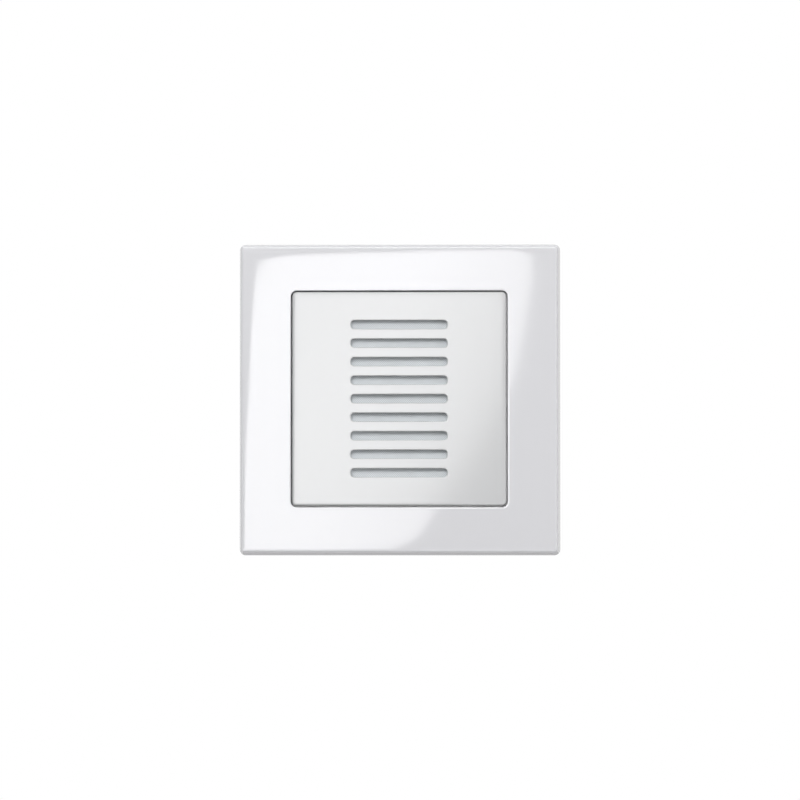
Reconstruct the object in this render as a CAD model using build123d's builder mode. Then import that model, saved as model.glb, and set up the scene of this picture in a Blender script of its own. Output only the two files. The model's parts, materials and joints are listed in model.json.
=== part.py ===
from build123d import *
import os
from math import atan2, cos, degrees, hypot, pi, radians, sin, sqrt, tan

# Flush-mounted alarm siren for a 60 mm wall box, in millimetres.
# The origin is the centre of the wall plane. +X is to the right and +Z is up for someone in the
# room, and the room is on the -Y side. A height is measured out of the wall, towards the room, so
# it is -Y, and a negative height is inside the wall box.

# ---------------------------------------------------------------- driving dimensions
# Cover frame
frame_width = 83.0
frame_height = 80.5
frame_rise = 9.4          # front face above the wall, at the middle
frame_skin = 2.0          # thickness of the front and of the sides
frame_draft = 3.5         # lean of the sides, degrees
frame_corner = 1.5        # outer corners, at the wall
frame_edge = 0.8          # rounding between front and sides
crown_radius = 1100.0     # very slight dome of the two front faces
window_edge = 0.3         # rounding of the window's front edge
collar_wall = 1.5         # wall round the window, behind the front
ledge_width = 2.2         # inward step that the plate's skirt presses on
ledge_thickness = 1.4
rib_thickness = 1.0
rib_spacing = 34.0

# Slotted front plate
plate_size = 55.0
plate_corner = 1.1
plate_gap = 0.4           # visible joint between plate and frame
plate_proud = 0.8         # plate stands in front of the frame by this much
plate_thickness = 2.0
plate_edge = 0.6
skirt_wall = 1.5
slot_count = 9
slot_length = 24.8
slot_height = 2.2
slot_pitch = 4.77
slot_corner = 0.9
slot_edge = 0.25
gauze_thickness = 0.35
gauze_margin = 1.0        # gauze laps the slots by this much

# Support ring, standard for a 60 mm box
ring_thickness = 1.2
ring_corner = 4.0
ring_side_room = 4.0      # frame wall to ring, left and right
ring_top_room = 2.75      # frame wall to ring, top and bottom
ring_lap = 1.7            # disc's radius less the radius of the ring's window
ring_recess = 0.2         # rear face set back over the housing's mouth
ring_recess_room = 0.3    # recess wider than the housing, all round
ring_hole_room = 0.6      # round the volume spindle
box_screw_spacing = 60.0
box_slot_width = 3.6
box_slot_length = 6.5

# Plate legs, their wells in the sounder case, and the leaf springs in the wells
leg_width = 6.0
leg_thickness = 1.8
leg_offset = 9.0          # from the middle, along X
leg_groove = 0.3
leg_clearance = 0.05      # leg to the crest of its leaf spring
leg_play = 0.3            # well wider than the leg, each side
well_wall = 0.7
well_end_wall = 1.0
well_rise = 4.0           # above the flange
leaf_thickness = 0.3
leaf_width = 5.0
leaf_bulge = 0.65
leaf_chord = 2.4

# Sounder
case_room = 0.7           # case flange to the frame's ledge
case_flange = 1.2
case_corner = 4.0
drum_wall = 0.9
drum_front = 1.2
chamber_height = 3.0
disc_radius = 17.5
disc_thickness = 0.3
ceramic_share = 5 / 7       # ceramic's radius as a part of the disc's
ceramic_thickness = 0.25
gasket_lip = 1.2          # how far the gasket reaches in over the disc's edge
gasket_height = 1.0
gasket_outside = 0.35     # rubber outside the disc's edge
port_radius = 3.0
port_count = 6
notch_wing = 1.0          # case cut away beside a claw screw's head
spindle_case_room = 0.3   # round the volume spindle
small_port_radius = 1.0
small_port_circle = 9.0

# Housing in the wall box
pot_radius = 28.2
pot_size = 49.0
pot_depth = 25.0
pot_wall = 1.8
pot_corner = 0.8
channel_floor = 16.0      # flat at the bottom of each claw channel, from the middle
channel_half = 7.7        # half of the channel's width
lid_thickness = 1.3
lid_gap = 0.1             # lid to ring
slide_fit = 0.15          # room round a piece that drops into another

# Fasteners
case_screw_place = 17.4   # X and Z of the four corner screws
case_screw_radius = 1.1
case_screw_head = 2.2
case_screw_head_height = 1.5
case_screw_length = 11.5
boss_radius = 2.5
thread_fit = 0.02         # pilot hole round a thread
screw_room = 0.25         # plain hole round a screw
board_screw_radius = 1.0
board_screw_head = 1.9
board_screw_head_height = 1.3
board_screw_length = 6.0
post_radius = 2.2

# Spreading claws
claw_sheet = 1.5
claw_width = 11.0
claw_bead = 1.1           # radius of the rolled pivot
claw_bead_length = 17.0
claw_pivot_x = 17.4
claw_pivot_depth = 1.35
claw_length = 16.75       # pivot to the middle of the toothed foot
claw_foot = 9.0
claw_bend = 1.6
tongue_depth = 5.25       # pivot to the middle of the tongue
tongue_length = 8.6
tongue_width = 6.7
tongue_play = 0.2
claw_window_end = 15.0
tooth_count = 4
tooth_depth = 1.1
pivot_fit = 0.1
claw_screw_x = 22.6
claw_screw_radius = 1.75
claw_screw_head = 2.8
claw_screw_head_height = 1.9
claw_screw_tip = 14.2     # depth behind the wall
claw_nut_size = 5.5
claw_nut_height = 3.2
claw_nut_roll = 3.5       # radius of the nut's rounded front, which rolls on the tongue
claw_nut_gap = 0.1
claw_swing = 22.0         # degrees, for the room that the slot in the tongue needs
turning_gap = 0.05        # between a turning piece and the face or bore beside it

# Circuit board and what is on it
board_depth = 8.6         # front face of the board behind the wall
board_thickness = 1.6
board_room = 0.4          # board to housing wall
side_posts = (19.4, -12.6)
top_post = 19.3
trimmer_x = 19.0
trimmer_z = 12.3
trimmer_size = 4.5
trimmer_height = 3.0
spindle_radius = 1.5
spindle_above_case = 0.4
spindle_sunk = 1.0        # in the trimmer
spindle_edge = 0.25
spindle_slot = (0.6, 0.8)   # width and depth
lead_diameter = 0.9
solder_height = 0.6
solder_radius = 1.1
lead_hole_radius = 1.2
red_disc_place = (5.0, 3.2)
red_board_place = (8.0, 7.4)
black_disc_share = (-0.4, 0.6857)   # X and Z as parts of the disc's radius
black_board_place = (-4.8, 9.6)
lead_straight = 2.6       # depth where a lead leaves the line of its joint on the disc
lead_bend_depths = (5.2, 5.4)

chip_place = (-1.5, -3.0)
chip_size = (8.7, 3.9)
chip_height = 1.5
chip_lift = 0.15
chip_edge = 0.3
chip_legs = 7
chip_pitch = 1.27
chip_foot = (0.42, 1.0, 0.25)       # width, length and thickness
chip_knee = 0.9
transistor_place = (7.0, -4.0)
transistor_size = (6.5, 6.0)
transistor_low = 0.1
transistor_high = 2.3
transistor_edge = 0.4
transistor_tab = (5.2, 1.2, 3.5)    # width, length and distance from the middle
transistor_foot = (0.8, 1.8, 2.3, -3.8)
transistor_sheet = 0.5
resistor_places = [(-10.0, -5.0), (-10.0, -2.2), (-10.0, 0.6), (-2.5, 2.6), (2.5, 2.6),
                   (2.5, 12.5)]
resistor_height = 0.55
chip_capacitor_places = [(-8.5, 5.2), (-3.5, 6.0), (-12.0, 14.0), (9.5, 13.0)]
chip_capacitor_height = 1.1
chip_part_size = (3.2, 1.6)
coil_place = (6.6, 2.6)
coil_radius = 5.4
coil_height = 10.5
coil_flange = 1.4
coil_core_share = 0.5     # middle of the core as a part of its flanges' radius
coil_wire_gap = 0.6       # winding inside the flanges' edge
rectifier_place = (-8.8, 13.5)
rectifier_size = (8.5, 6.4)
rectifier_low = 3.6       # below the board's rear face
rectifier_high = 0.3
rectifier_edge = 0.5
rectifier_pin = (0.9, 0.5, 2.0)
rectifier_pin_place = (2.5, 3.45)
varistor_place = (7.5, 4.6, 13.0)   # X, distance below the board and lower Z
varistor_radius = 4.0
varistor_thickness = 3.4
varistor_edge = 1.2
varistor_pin = 0.35
varistor_pin_length = 3.0
varistor_pin_offset = 2.5

capacitor_place = (-7.0, 2.0)
capacitor_radius = 4.0
capacitor_length = 11.3
capacitor_pin = 0.3
capacitor_pin_offset = 1.75
capacitor_lift = 0.2      # can below the board's rear face
capacitor_edge = 0.5
capacitor_pin_through = 0.5

# Terminals
pole_count = 3
pole_pitch = 7.0
terminal_top = -11.4      # Z of the upper face
terminal_fit = 0.2        # block to the opening in the housing
terminal_inset = 0.2      # block's rear face inside the housing's rear face
terminal_step = 1.6       # base that stands on the board inside the housing
cage_width = 5.6
cage_length = 5.0
cage_wall = 0.8
cage_floor = 1.0
cage_top = 1.8
cage_inside = 3.6
cage_travel = 2.5
cage_play = 0.2
cage_depth = 12.15        # front face of an open cage behind the wall
cage_z = -17.8
bar_width = 3.6
bar_thickness = 0.8
bar_end_z = -12.6
wire_room = 2.6           # space for the conductor in an open cage
pin_width = 1.2
pin_through = 0.8
wire_hole = 1.35
wire_funnel = 2.2
wire_funnel_depth = 1.0
terminal_screw_radius = 1.5
terminal_screw_head = 2.1
terminal_screw_head_height = 1.8
terminal_head_room = 0.3
terminal_head_sunk = 0.6  # head below the block's rear face

# ---------------------------------------------------------------- sizes that follow
window_size = plate_size + 2 * plate_gap
window_corner = plate_corner + plate_gap
ledge_opening = window_size - 2 * ledge_width
ledge_low = ring_thickness + 0.2
ledge_high = ledge_low + ledge_thickness
skirt_end = ledge_high + 0.2
plate_front = frame_rise + plate_proud
plate_back = plate_front - plate_thickness
slot_group = slot_pitch * (slot_count - 1) + slot_height

ring_width = frame_width - 2 * (frame_skin + ring_side_room)
ring_height = frame_height - 2 * (frame_skin + ring_top_room)

ring_window = disc_radius - ring_lap
ceramic_radius = ceramic_share * disc_radius
black_disc_place = tuple(share * disc_radius for share in black_disc_share)

case_size = ledge_opening - 2 * case_room
flange_top = ring_thickness + case_flange
clamp_height = 0.75
gasket_low = ring_thickness + turning_gap + clamp_height
gasket_high = gasket_low + gasket_height
gasket_radius = disc_radius + gasket_outside
drum_bore = gasket_radius + 0.05
drum_radius = drum_bore + drum_wall
drum_top = gasket_high + chamber_height + drum_front
disc_low = gasket_low + (gasket_height - disc_thickness) / 2
ceramic_low = disc_low - ceramic_thickness

leaf_face = case_size / 2 - well_wall                 # outer wall of a well, on the inside
leg_outer = leaf_face - leaf_thickness - leaf_bulge - leg_clearance
leg_middle = leg_outer - leg_thickness / 2
leg_end = flange_top + 0.4
leaf_middle = flange_top + well_rise / 2 + 0.1
well_inner = leg_outer - leg_thickness - leg_play

lid_low = -lid_gap - lid_thickness
board_front = -board_depth
board_rear = board_front - board_thickness
pot_floor = pot_wall - pot_depth
spindle_top = flange_top + spindle_above_case
claw_screw_c = claw_screw_x - claw_pivot_x

terminal_rear = terminal_inset - pot_depth
terminal_half = pole_count * pole_pitch / 2
terminal_base_low = board_rear - terminal_step
terminal_bottom = -pot_size / 2 + terminal_inset
cage_front = -cage_depth
cage_rear = cage_front - cage_floor - cage_inside - cage_top
bar_front = cage_front - cage_floor - wire_room
bar_rear = bar_front - bar_thickness
wire_height = cage_front - cage_floor - wire_room / 2
screw_seat = terminal_rear + terminal_head_sunk + terminal_screw_head_height
pole_places = [pole_pitch * (i - (pole_count - 1) / 2) for i in range(pole_count)]

corner_places = [(x, z) for x in (-case_screw_place, case_screw_place)
                 for z in (-case_screw_place, case_screw_place)]
leg_places = [(x, z) for x in (-leg_offset, leg_offset) for z in (-1, 1)]
post_places = [(-side_posts[0], side_posts[1]), side_posts, (0, top_post)]
capacitor_pins = [(capacitor_place[0] + side * capacitor_pin_offset, capacitor_place[1])
                  for side in (-1, 1)]


# ---------------------------------------------------------------- helpers
def wall_plane(height):
    """Plane parallel to the wall at this height, facing the room."""
    return Plane.XZ.offset(height)


def crown_drop(distance):
    """How far the domed front has fallen at this distance from the middle."""
    return crown_radius - sqrt(crown_radius**2 - distance**2)


def slab(low, high, width, tall, corner=0.0, places=((0, 0),), mode=Mode.ADD):
    """Rectangles, with rounded corners if corner isn't 0, between two heights."""
    with BuildSketch(wall_plane(low)) as outline:
        with Locations(*places):
            if corner:
                RectangleRounded(width, tall, corner)
            else:
                Rectangle(width, tall)
    extrude(outline.sketch, amount=high - low, mode=mode)


def drum(low, high, radius, places=((0, 0),), mode=Mode.ADD):
    """Round discs between two heights."""
    with BuildSketch(wall_plane(low)) as outline:
        with Locations(*places):
            Circle(radius)
    extrude(outline.sketch, amount=high - low, mode=mode)


def pot_slice(low, high, inset, corner, mode=Mode.ADD):
    """The housing's outline, drawn in by inset all round, between two heights."""
    with BuildSketch(wall_plane(low)) as outline:
        Circle(pot_radius - inset)
        Rectangle(pot_size - 2 * inset, pot_size - 2 * inset, mode=Mode.INTERSECT)
        channel = pot_radius - channel_floor + inset
        middle = channel_floor - inset + channel / 2
        with Locations((-middle, 0), (middle, 0)):
            Rectangle(channel, 2 * (channel_half + inset), mode=Mode.SUBTRACT)
        fillet(outline.vertices(), corner)
    extrude(outline.sketch, amount=high - low, mode=mode)


def pot_mouth(low, high, room):
    """Cuts away the housing's outline without its channels, room wider all round."""
    with BuildSketch(wall_plane(low)) as outline:
        Circle(pot_radius + room)
        Rectangle(pot_size + 2 * room, pot_size + 2 * room, mode=Mode.INTERSECT)
    extrude(outline.sketch, amount=high - low, mode=Mode.SUBTRACT)


def domed_front(top):
    """Keeps what lies under a dome that reaches this height in the middle."""
    with Locations((0, crown_radius - top, 0)):
        Sphere(crown_radius, mode=Mode.INTERSECT)


def cross_recess(height, radius, depth, places, towards=1):
    """Cross-shaped driver recess sunk into screw heads whose tops are at this height."""
    for width, tall in ((2 * radius, 0.3 * radius), (0.3 * radius, 2 * radius)):
        slab(height - towards * depth, height, width, tall, places=places, mode=Mode.SUBTRACT)


finished = []


def finish(builder, name):
    """Labels a finished piece and keeps it for export."""
    builder.part.label = name
    finished.append(builder.part)


# ---------------------------------------------------------------- cover frame
cavity_roof = (frame_rise - crown_drop(hypot(frame_width, frame_height) / 2) - frame_skin)
rib_reach_x = (frame_width / 2 - frame_skin - window_size / 2 - collar_wall)
rib_reach_z = (frame_height / 2 - frame_skin - window_size / 2 - collar_wall)
rib_place_x = window_size / 2 + collar_wall + rib_reach_x / 2
rib_place_z = window_size / 2 + collar_wall + rib_reach_z / 2

with BuildPart() as cover_frame:
    with BuildSketch(wall_plane(0)):
        RectangleRounded(frame_width, frame_height, frame_corner)
    extrude(amount=frame_rise, taper=frame_draft)
    domed_front(frame_rise)
    fillet(cover_frame.faces().sort_by(Axis.Y)[0].edges(), frame_edge)
    with BuildSketch(wall_plane(0)):
        RectangleRounded(frame_width - 2 * frame_skin, frame_height - 2 * frame_skin, 0.6)
    extrude(amount=cavity_roof, taper=frame_draft, mode=Mode.SUBTRACT)
    slab(ledge_low, cavity_roof + 0.5, window_size + 2 * collar_wall,
         window_size + 2 * collar_wall, window_corner + collar_wall)
    slab(ledge_low + 0.6, cavity_roof + 0.5, rib_reach_x + 1, rib_thickness, places=[
        (side * rib_place_x, z) for side in (-1, 1) for z in (-rib_spacing / 2, rib_spacing / 2)])
    slab(ledge_low + 0.6, cavity_roof + 0.5, rib_thickness, rib_reach_z + 1, places=[
        (x, side * rib_place_z) for side in (-1, 1) for x in (-rib_spacing / 2, rib_spacing / 2)])
    slab(ledge_high, frame_rise + 1, window_size, window_size, window_corner, mode=Mode.SUBTRACT)
    slab(0, frame_rise, ledge_opening, ledge_opening, window_corner, mode=Mode.SUBTRACT)
    front = cover_frame.faces().filter_by(GeomType.SPHERE).sort_by(SortBy.AREA)[-1]
    fillet(front.inner_wires()[0].edges(), window_edge)
finish(cover_frame, "cover_frame")

# ---------------------------------------------------------------- slotted front plate
with BuildPart() as front_plate:
    slab(skirt_end, plate_front, plate_size, plate_size, plate_corner)
    domed_front(plate_front)
    fillet(front_plate.faces().sort_by(Axis.Y)[0].edges(), plate_edge)
    slab(skirt_end, plate_back, plate_size - 2 * skirt_wall, plate_size - 2 * skirt_wall,
         0.5, mode=Mode.SUBTRACT)
    with BuildSketch(wall_plane(plate_back)):
        with GridLocations(0, slot_pitch, 1, slot_count):
            RectangleRounded(slot_length, slot_height, slot_corner)
    extrude(amount=plate_thickness + 1, mode=Mode.SUBTRACT)
    front = front_plate.faces().filter_by(GeomType.SPHERE).sort_by(SortBy.AREA)[-1]
    fillet([edge for wire in front.inner_wires() for edge in wire.edges()], slot_edge)
    slab(leg_end, plate_back, leg_width, leg_thickness,
         places=[(x, side * leg_middle) for x, side in leg_places])
    slab(leaf_middle - leaf_chord * 0.65, leaf_middle + leaf_chord * 0.65, leg_width, leg_groove,
         places=[(x, side * (leg_outer - leg_groove / 2)) for x, side in leg_places],
         mode=Mode.SUBTRACT)
finish(front_plate, "front_plate")

with BuildPart() as dust_gauze:
    slab(plate_back - gauze_thickness, plate_back, slot_length + 2 * gauze_margin,
         slot_group + 2 * gauze_margin, gauze_margin)
finish(dust_gauze, "dust_gauze")

# ---------------------------------------------------------------- support ring
slot_centres_x = [(-box_screw_spacing / 2, 0), (box_screw_spacing / 2, 0)]
slot_centres_z = [(0, -box_screw_spacing / 2), (0, box_screw_spacing / 2)]

with BuildPart() as support_ring:
    slab(0, ring_thickness, ring_width, ring_height, ring_corner)
    pot_mouth(0, ring_recess, ring_recess_room)
    drum(0, ring_thickness, ring_window, mode=Mode.SUBTRACT)
    with BuildSketch(wall_plane(0)):
        with Locations(*slot_centres_x):
            SlotOverall(box_slot_length, box_slot_width)
        with Locations(*slot_centres_z):
            SlotOverall(box_slot_length, box_slot_width, rotation=90)
        with Locations((-claw_screw_x, 0), (claw_screw_x, 0)):
            Circle(claw_screw_radius + screw_room)
        with Locations(*corner_places):
            Circle(case_screw_radius + screw_room)
        with Locations((trimmer_x, trimmer_z)):
            Circle(spindle_radius + ring_hole_room)
    extrude(amount=ring_thickness, mode=Mode.SUBTRACT)
finish(support_ring, "support_ring")

# ---------------------------------------------------------------- sounder
well_depth = leaf_face - well_inner
well_middle = (leaf_face + well_inner) / 2

with BuildPart() as sounder_case:
    slab(ring_thickness, flange_top, case_size, case_size, case_corner)
    drum(ring_thickness, drum_top, drum_radius)
    fillet(sounder_case.edges().group_by(Axis.Y)[0], 0.5)
    slab(flange_top, flange_top + well_rise, leg_width + 2 * (leg_play + well_end_wall),
         well_depth + 2 * well_wall,
         places=[(x, side * well_middle) for x, side in leg_places])
    slab(flange_top, flange_top + well_rise, leg_width + 2 * leg_play, well_depth,
         places=[(x, side * well_middle) for x, side in leg_places], mode=Mode.SUBTRACT)
    drum(ring_thickness, gasket_high, drum_bore, mode=Mode.SUBTRACT)
    drum(gasket_high, gasket_high + chamber_height, disc_radius - gasket_lip, mode=Mode.SUBTRACT)
    drum(drum_top - drum_front, drum_top, port_radius, mode=Mode.SUBTRACT)
    with BuildSketch(wall_plane(drum_top - drum_front)):
        with PolarLocations(small_port_circle, port_count):
            Circle(small_port_radius)
    extrude(amount=drum_front, mode=Mode.SUBTRACT)
    notch = case_size / 2 - claw_screw_x + claw_screw_head + screw_room
    slab(ring_thickness, flange_top, notch, 2 * (claw_screw_head + notch_wing),
         places=[(side * (case_size - notch) / 2, 0) for side in (-1, 1)], mode=Mode.SUBTRACT)
    drum(ring_thickness, flange_top, case_screw_radius + screw_room, corner_places,
         mode=Mode.SUBTRACT)
    drum(ring_thickness, flange_top, spindle_radius + spindle_case_room, [(trimmer_x, trimmer_z)],
         mode=Mode.SUBTRACT)
finish(sounder_case, "sounder_case")

with BuildPart() as disc_gasket:
    drum(gasket_low, gasket_high, gasket_radius)
    drum(gasket_low, gasket_high, disc_radius - gasket_lip, mode=Mode.SUBTRACT)
    drum(disc_low, disc_low + disc_thickness, disc_radius, mode=Mode.SUBTRACT)
finish(disc_gasket, "disc_gasket")

with BuildPart() as sounder_disc:
    drum(disc_low, disc_low + disc_thickness, disc_radius)
finish(sounder_disc, "sounder_disc")

with BuildPart() as piezo_ceramic:
    drum(ceramic_low, disc_low, ceramic_radius)
finish(piezo_ceramic, "piezo_ceramic")

with BuildPart() as disc_clamp_ring:
    drum(gasket_low - clamp_height, gasket_low, gasket_radius)
    drum(gasket_low - clamp_height, gasket_low, disc_radius - gasket_lip, mode=Mode.SUBTRACT)
finish(disc_clamp_ring, "disc_clamp_ring")

# One leaf spring is drawn on the side of its well, then set in all four wells.
leaf_line = leaf_face - leaf_thickness / 2
leaf_ends = (flange_top + 0.2, flange_top + well_rise - 0.2)
with BuildPart() as cover_springs:
    with BuildSketch(Plane.YZ.offset(leg_offset - leaf_width / 2)):
        with BuildLine():
            Line((-leaf_ends[0], leaf_line), (leaf_chord / 2 - leaf_middle, leaf_line))
            ThreePointArc((leaf_chord / 2 - leaf_middle, leaf_line),
                          (-leaf_middle, leaf_line - leaf_bulge),
                          (-leaf_chord / 2 - leaf_middle, leaf_line))
            Line((-leaf_chord / 2 - leaf_middle, leaf_line), (-leaf_ends[1], leaf_line))
        trace(line_width=leaf_thickness)
    extrude(amount=leaf_width)
    mirror(about=Plane.XY)
    mirror(about=Plane.YZ)
finish(cover_springs, "cover_springs")

# ---------------------------------------------------------------- housing and lid
window_half = terminal_half + terminal_fit
pocket_length = claw_bead_length / 2 - channel_half + 2 * pivot_fit
with BuildPart() as housing:
    pot_slice(-pot_depth, 0, 0, pot_corner)
    fillet(housing.faces().sort_by(Axis.Y)[-1].edges(), 1.0)
    pot_slice(pot_floor, 0, pot_wall, pot_corner / 2, mode=Mode.SUBTRACT)
    drum(pot_floor - 0.5, lid_low, boss_radius, corner_places)
    drum(pot_floor - 0.5, board_rear, post_radius, post_places)
    pot_slice(-pot_depth - 1, 0, 0, pot_corner, mode=Mode.INTERSECT)
    drum(lid_low - case_screw_length, 0, case_screw_radius + thread_fit, corner_places,
         mode=Mode.SUBTRACT)
    drum(board_rear - board_screw_length, board_rear, board_screw_radius + thread_fit,
         post_places, mode=Mode.SUBTRACT)
    slab(-pot_depth, terminal_base_low + terminal_fit, 2 * window_half,
         pot_size / 2 + terminal_top + terminal_fit,
         places=[(0, (terminal_top + terminal_fit - pot_size / 2) / 2)], mode=Mode.SUBTRACT)
    for side in (-1, 1):
        for up in (-1, 1):
            pocket = (side * claw_pivot_x, up * (channel_half + claw_bead_length / 2) / 2)
            slab(-claw_pivot_depth, 0, 2 * (claw_bead + pivot_fit), pocket_length,
                 places=[pocket], mode=Mode.SUBTRACT)
            with BuildSketch(Plane.XY.offset(pocket[1] - pocket_length / 2)) as round_end:
                with Locations((pocket[0], claw_pivot_depth)):
                    Circle(claw_bead + pivot_fit)
            extrude(round_end.sketch, amount=pocket_length, mode=Mode.SUBTRACT)
finish(housing, "housing")

with BuildPart() as housing_lid:
    pot_slice(lid_low, -lid_gap, pot_wall + slide_fit, pot_corner / 2)
    drum(lid_low, -lid_gap, case_screw_radius + screw_room, corner_places, mode=Mode.SUBTRACT)
    drum(lid_low, -lid_gap, spindle_radius + 0.4, [(trimmer_x, trimmer_z)], mode=Mode.SUBTRACT)
    drum(lid_low, -lid_gap, lead_hole_radius, (red_disc_place, black_disc_place),
         mode=Mode.SUBTRACT)
finish(housing_lid, "housing_lid")

with BuildPart() as case_screws:
    drum(flange_top - case_screw_length, flange_top, case_screw_radius, corner_places)
    drum(flange_top, flange_top + case_screw_head_height, case_screw_head, corner_places)
    fillet(case_screws.faces().filter_by(Axis.Y).group_by(Axis.Y)[0].edges(), 0.6)
    cross_recess(flange_top + case_screw_head_height, 1.1, 0.9, corner_places)
finish(case_screws, "case_screws")

# ---------------------------------------------------------------- circuit board
pin_z = bar_end_z - bar_thickness / 2
with BuildPart() as circuit_board:
    pot_slice(board_rear, board_front, pot_wall + board_room, pot_corner / 2)
    drum(board_rear, board_front, boss_radius + board_room, corner_places, mode=Mode.SUBTRACT)
    drum(board_rear, board_front, board_screw_radius + screw_room, post_places,
         mode=Mode.SUBTRACT)
    drum(board_rear, board_front, pin_width * 0.75, [(x, pin_z) for x in pole_places],
         mode=Mode.SUBTRACT)
    drum(board_rear, board_front, capacitor_pin + 0.15, capacitor_pins, mode=Mode.SUBTRACT)
finish(circuit_board, "circuit_board")

with BuildPart() as board_screws:
    drum(board_front - board_screw_length, board_front, board_screw_radius, post_places)
    drum(board_front, board_front + board_screw_head_height, board_screw_head, post_places)
    fillet(board_screws.faces().filter_by(Axis.Y).group_by(Axis.Y)[0].edges(), 0.5)
    cross_recess(board_front + board_screw_head_height, 1.0, 0.8, post_places)
finish(board_screws, "board_screws")

# Pieces on the board's front face, towards the room.
with BuildPart() as volume_trimmer:
    slab(board_front, board_front + trimmer_height, trimmer_size, trimmer_size, 0.4,
         [(trimmer_x, trimmer_z)])
    drum(board_front + trimmer_height - spindle_sunk, board_front + trimmer_height,
         spindle_radius + turning_gap, [(trimmer_x, trimmer_z)], mode=Mode.SUBTRACT)
finish(volume_trimmer, "volume_trimmer")

with BuildPart() as volume_spindle:
    drum(board_front + trimmer_height - spindle_sunk + turning_gap, spindle_top, spindle_radius,
         [(trimmer_x, trimmer_z)])
    chamfer(volume_spindle.faces().sort_by(Axis.Y)[0].edges(), spindle_edge)
    slab(spindle_top - spindle_slot[1], spindle_top, 2 * spindle_radius, spindle_slot[0],
         places=[(trimmer_x, trimmer_z)], mode=Mode.SUBTRACT)
finish(volume_spindle, "volume_spindle")

with BuildPart() as driver_chip:
    slab(board_front + chip_lift, board_front + chip_lift + chip_height, *chip_size,
         places=[chip_place])
    chamfer(driver_chip.faces().sort_by(Axis.Y)[0].edges(), chip_edge)
    foot_width, foot_length, foot_sheet = chip_foot
    for side in (-1, 1):
        columns = [chip_place[0] + chip_pitch * (i - (chip_legs - 1) / 2)
                   for i in range(chip_legs)]
        foot_z = chip_place[1] + side * (chip_size[1] + foot_length) / 2
        knee_z = chip_place[1] + side * (chip_size[1] + foot_sheet) / 2
        slab(board_front, board_front + foot_sheet, foot_width, foot_length,
             places=[(x, foot_z) for x in columns])
        slab(board_front, board_front + chip_knee, foot_width, foot_sheet,
             places=[(x, knee_z) for x in columns])
finish(driver_chip, "driver_chip")

with BuildPart() as drive_transistor:
    slab(board_front + transistor_low, board_front + transistor_high, *transistor_size,
         places=[transistor_place])
    chamfer(drive_transistor.faces().sort_by(Axis.Y)[0].edges(), transistor_edge)
    slab(board_front, board_front + transistor_sheet, *transistor_tab[:2],
         places=[(transistor_place[0], transistor_place[1] + transistor_tab[2])])
    slab(board_front, board_front + transistor_sheet, *transistor_foot[:2],
         places=[(transistor_place[0] + side * transistor_foot[2],
                  transistor_place[1] + transistor_foot[3]) for side in (-1, 1)])
finish(drive_transistor, "drive_transistor")

with BuildPart() as chip_resistors:
    slab(board_front, board_front + resistor_height, *chip_part_size, places=resistor_places)
finish(chip_resistors, "chip_resistors")

with BuildPart() as chip_capacitors:
    slab(board_front, board_front + chip_capacitor_height, *chip_part_size,
         places=chip_capacitor_places)
finish(chip_capacitors, "chip_capacitors")

# Pieces on the board's rear face, towards the back of the wall box.
with BuildPart() as storage_capacitor:
    drum(board_rear - capacitor_length, board_rear - capacitor_lift, capacitor_radius,
         [capacitor_place])
    fillet(storage_capacitor.edges().group_by(Axis.Y)[-1], capacitor_edge)
    drum(board_rear - capacitor_lift, board_front + capacitor_pin_through, capacitor_pin,
         capacitor_pins)
finish(storage_capacitor, "storage_capacitor")

coil_low = board_rear - coil_height
coil_core_radius = coil_radius * coil_core_share
with BuildPart() as coil_core:
    drum(coil_low, board_rear, coil_radius, [coil_place])
    drum(coil_low + coil_flange, board_rear - coil_flange, coil_radius, [coil_place],
         mode=Mode.SUBTRACT)
    drum(coil_low, board_rear, coil_core_radius, [coil_place])
finish(coil_core, "coil_core")

with BuildPart() as coil_winding:
    drum(coil_low + coil_flange, board_rear - coil_flange, coil_radius - coil_wire_gap,
         [coil_place])
    drum(coil_low + coil_flange, board_rear - coil_flange, coil_core_radius, [coil_place],
         mode=Mode.SUBTRACT)
finish(coil_winding, "coil_winding")

with BuildPart() as bridge_rectifier:
    slab(board_rear - rectifier_low, board_rear - rectifier_high, *rectifier_size,
         places=[rectifier_place])
    chamfer(bridge_rectifier.faces().sort_by(Axis.Y)[-1].edges(), rectifier_edge)
    pin_places = [(rectifier_place[0] + side * rectifier_pin_place[0],
                   rectifier_place[1] + up * rectifier_pin_place[1])
                  for side in (-1, 1) for up in (-1, 1)]
    slab(board_rear - rectifier_pin[2], board_rear, *rectifier_pin[:2], places=pin_places)
finish(bridge_rectifier, "bridge_rectifier")

with BuildPart() as surge_varistor:
    with BuildSketch(Plane.XY.offset(varistor_place[2])):
        with Locations((varistor_place[0], varistor_place[1] - board_rear)):
            Circle(varistor_radius)
    extrude(amount=varistor_thickness)
    fillet(surge_varistor.edges(), varistor_edge)
    varistor_middle = varistor_place[2] + varistor_thickness / 2
    drum(board_rear - varistor_pin_length, board_rear, varistor_pin,
         [(varistor_place[0] + side * varistor_pin_offset, varistor_middle) for side in (-1, 1)])
finish(surge_varistor, "surge_varistor")


# ---------------------------------------------------------------- leads of the sounder disc
def corner_radii(points):
    """The largest radius that each corner of a route has room for."""
    radii = []
    for before, corner, after in zip(points, points[1:], points[2:]):
        arriving = Vector(corner) - Vector(before)
        leaving = Vector(after) - Vector(corner)
        half_turn = radians(arriving.get_angle(leaving)) / 2
        radii.append(0.45 * min(arriving.length, leaving.length) / tan(half_turn))
    return radii


ceramic_joint = solder_height - ceramic_low
brass_joint = solder_height - disc_low
board_joint = board_depth - solder_height


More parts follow.
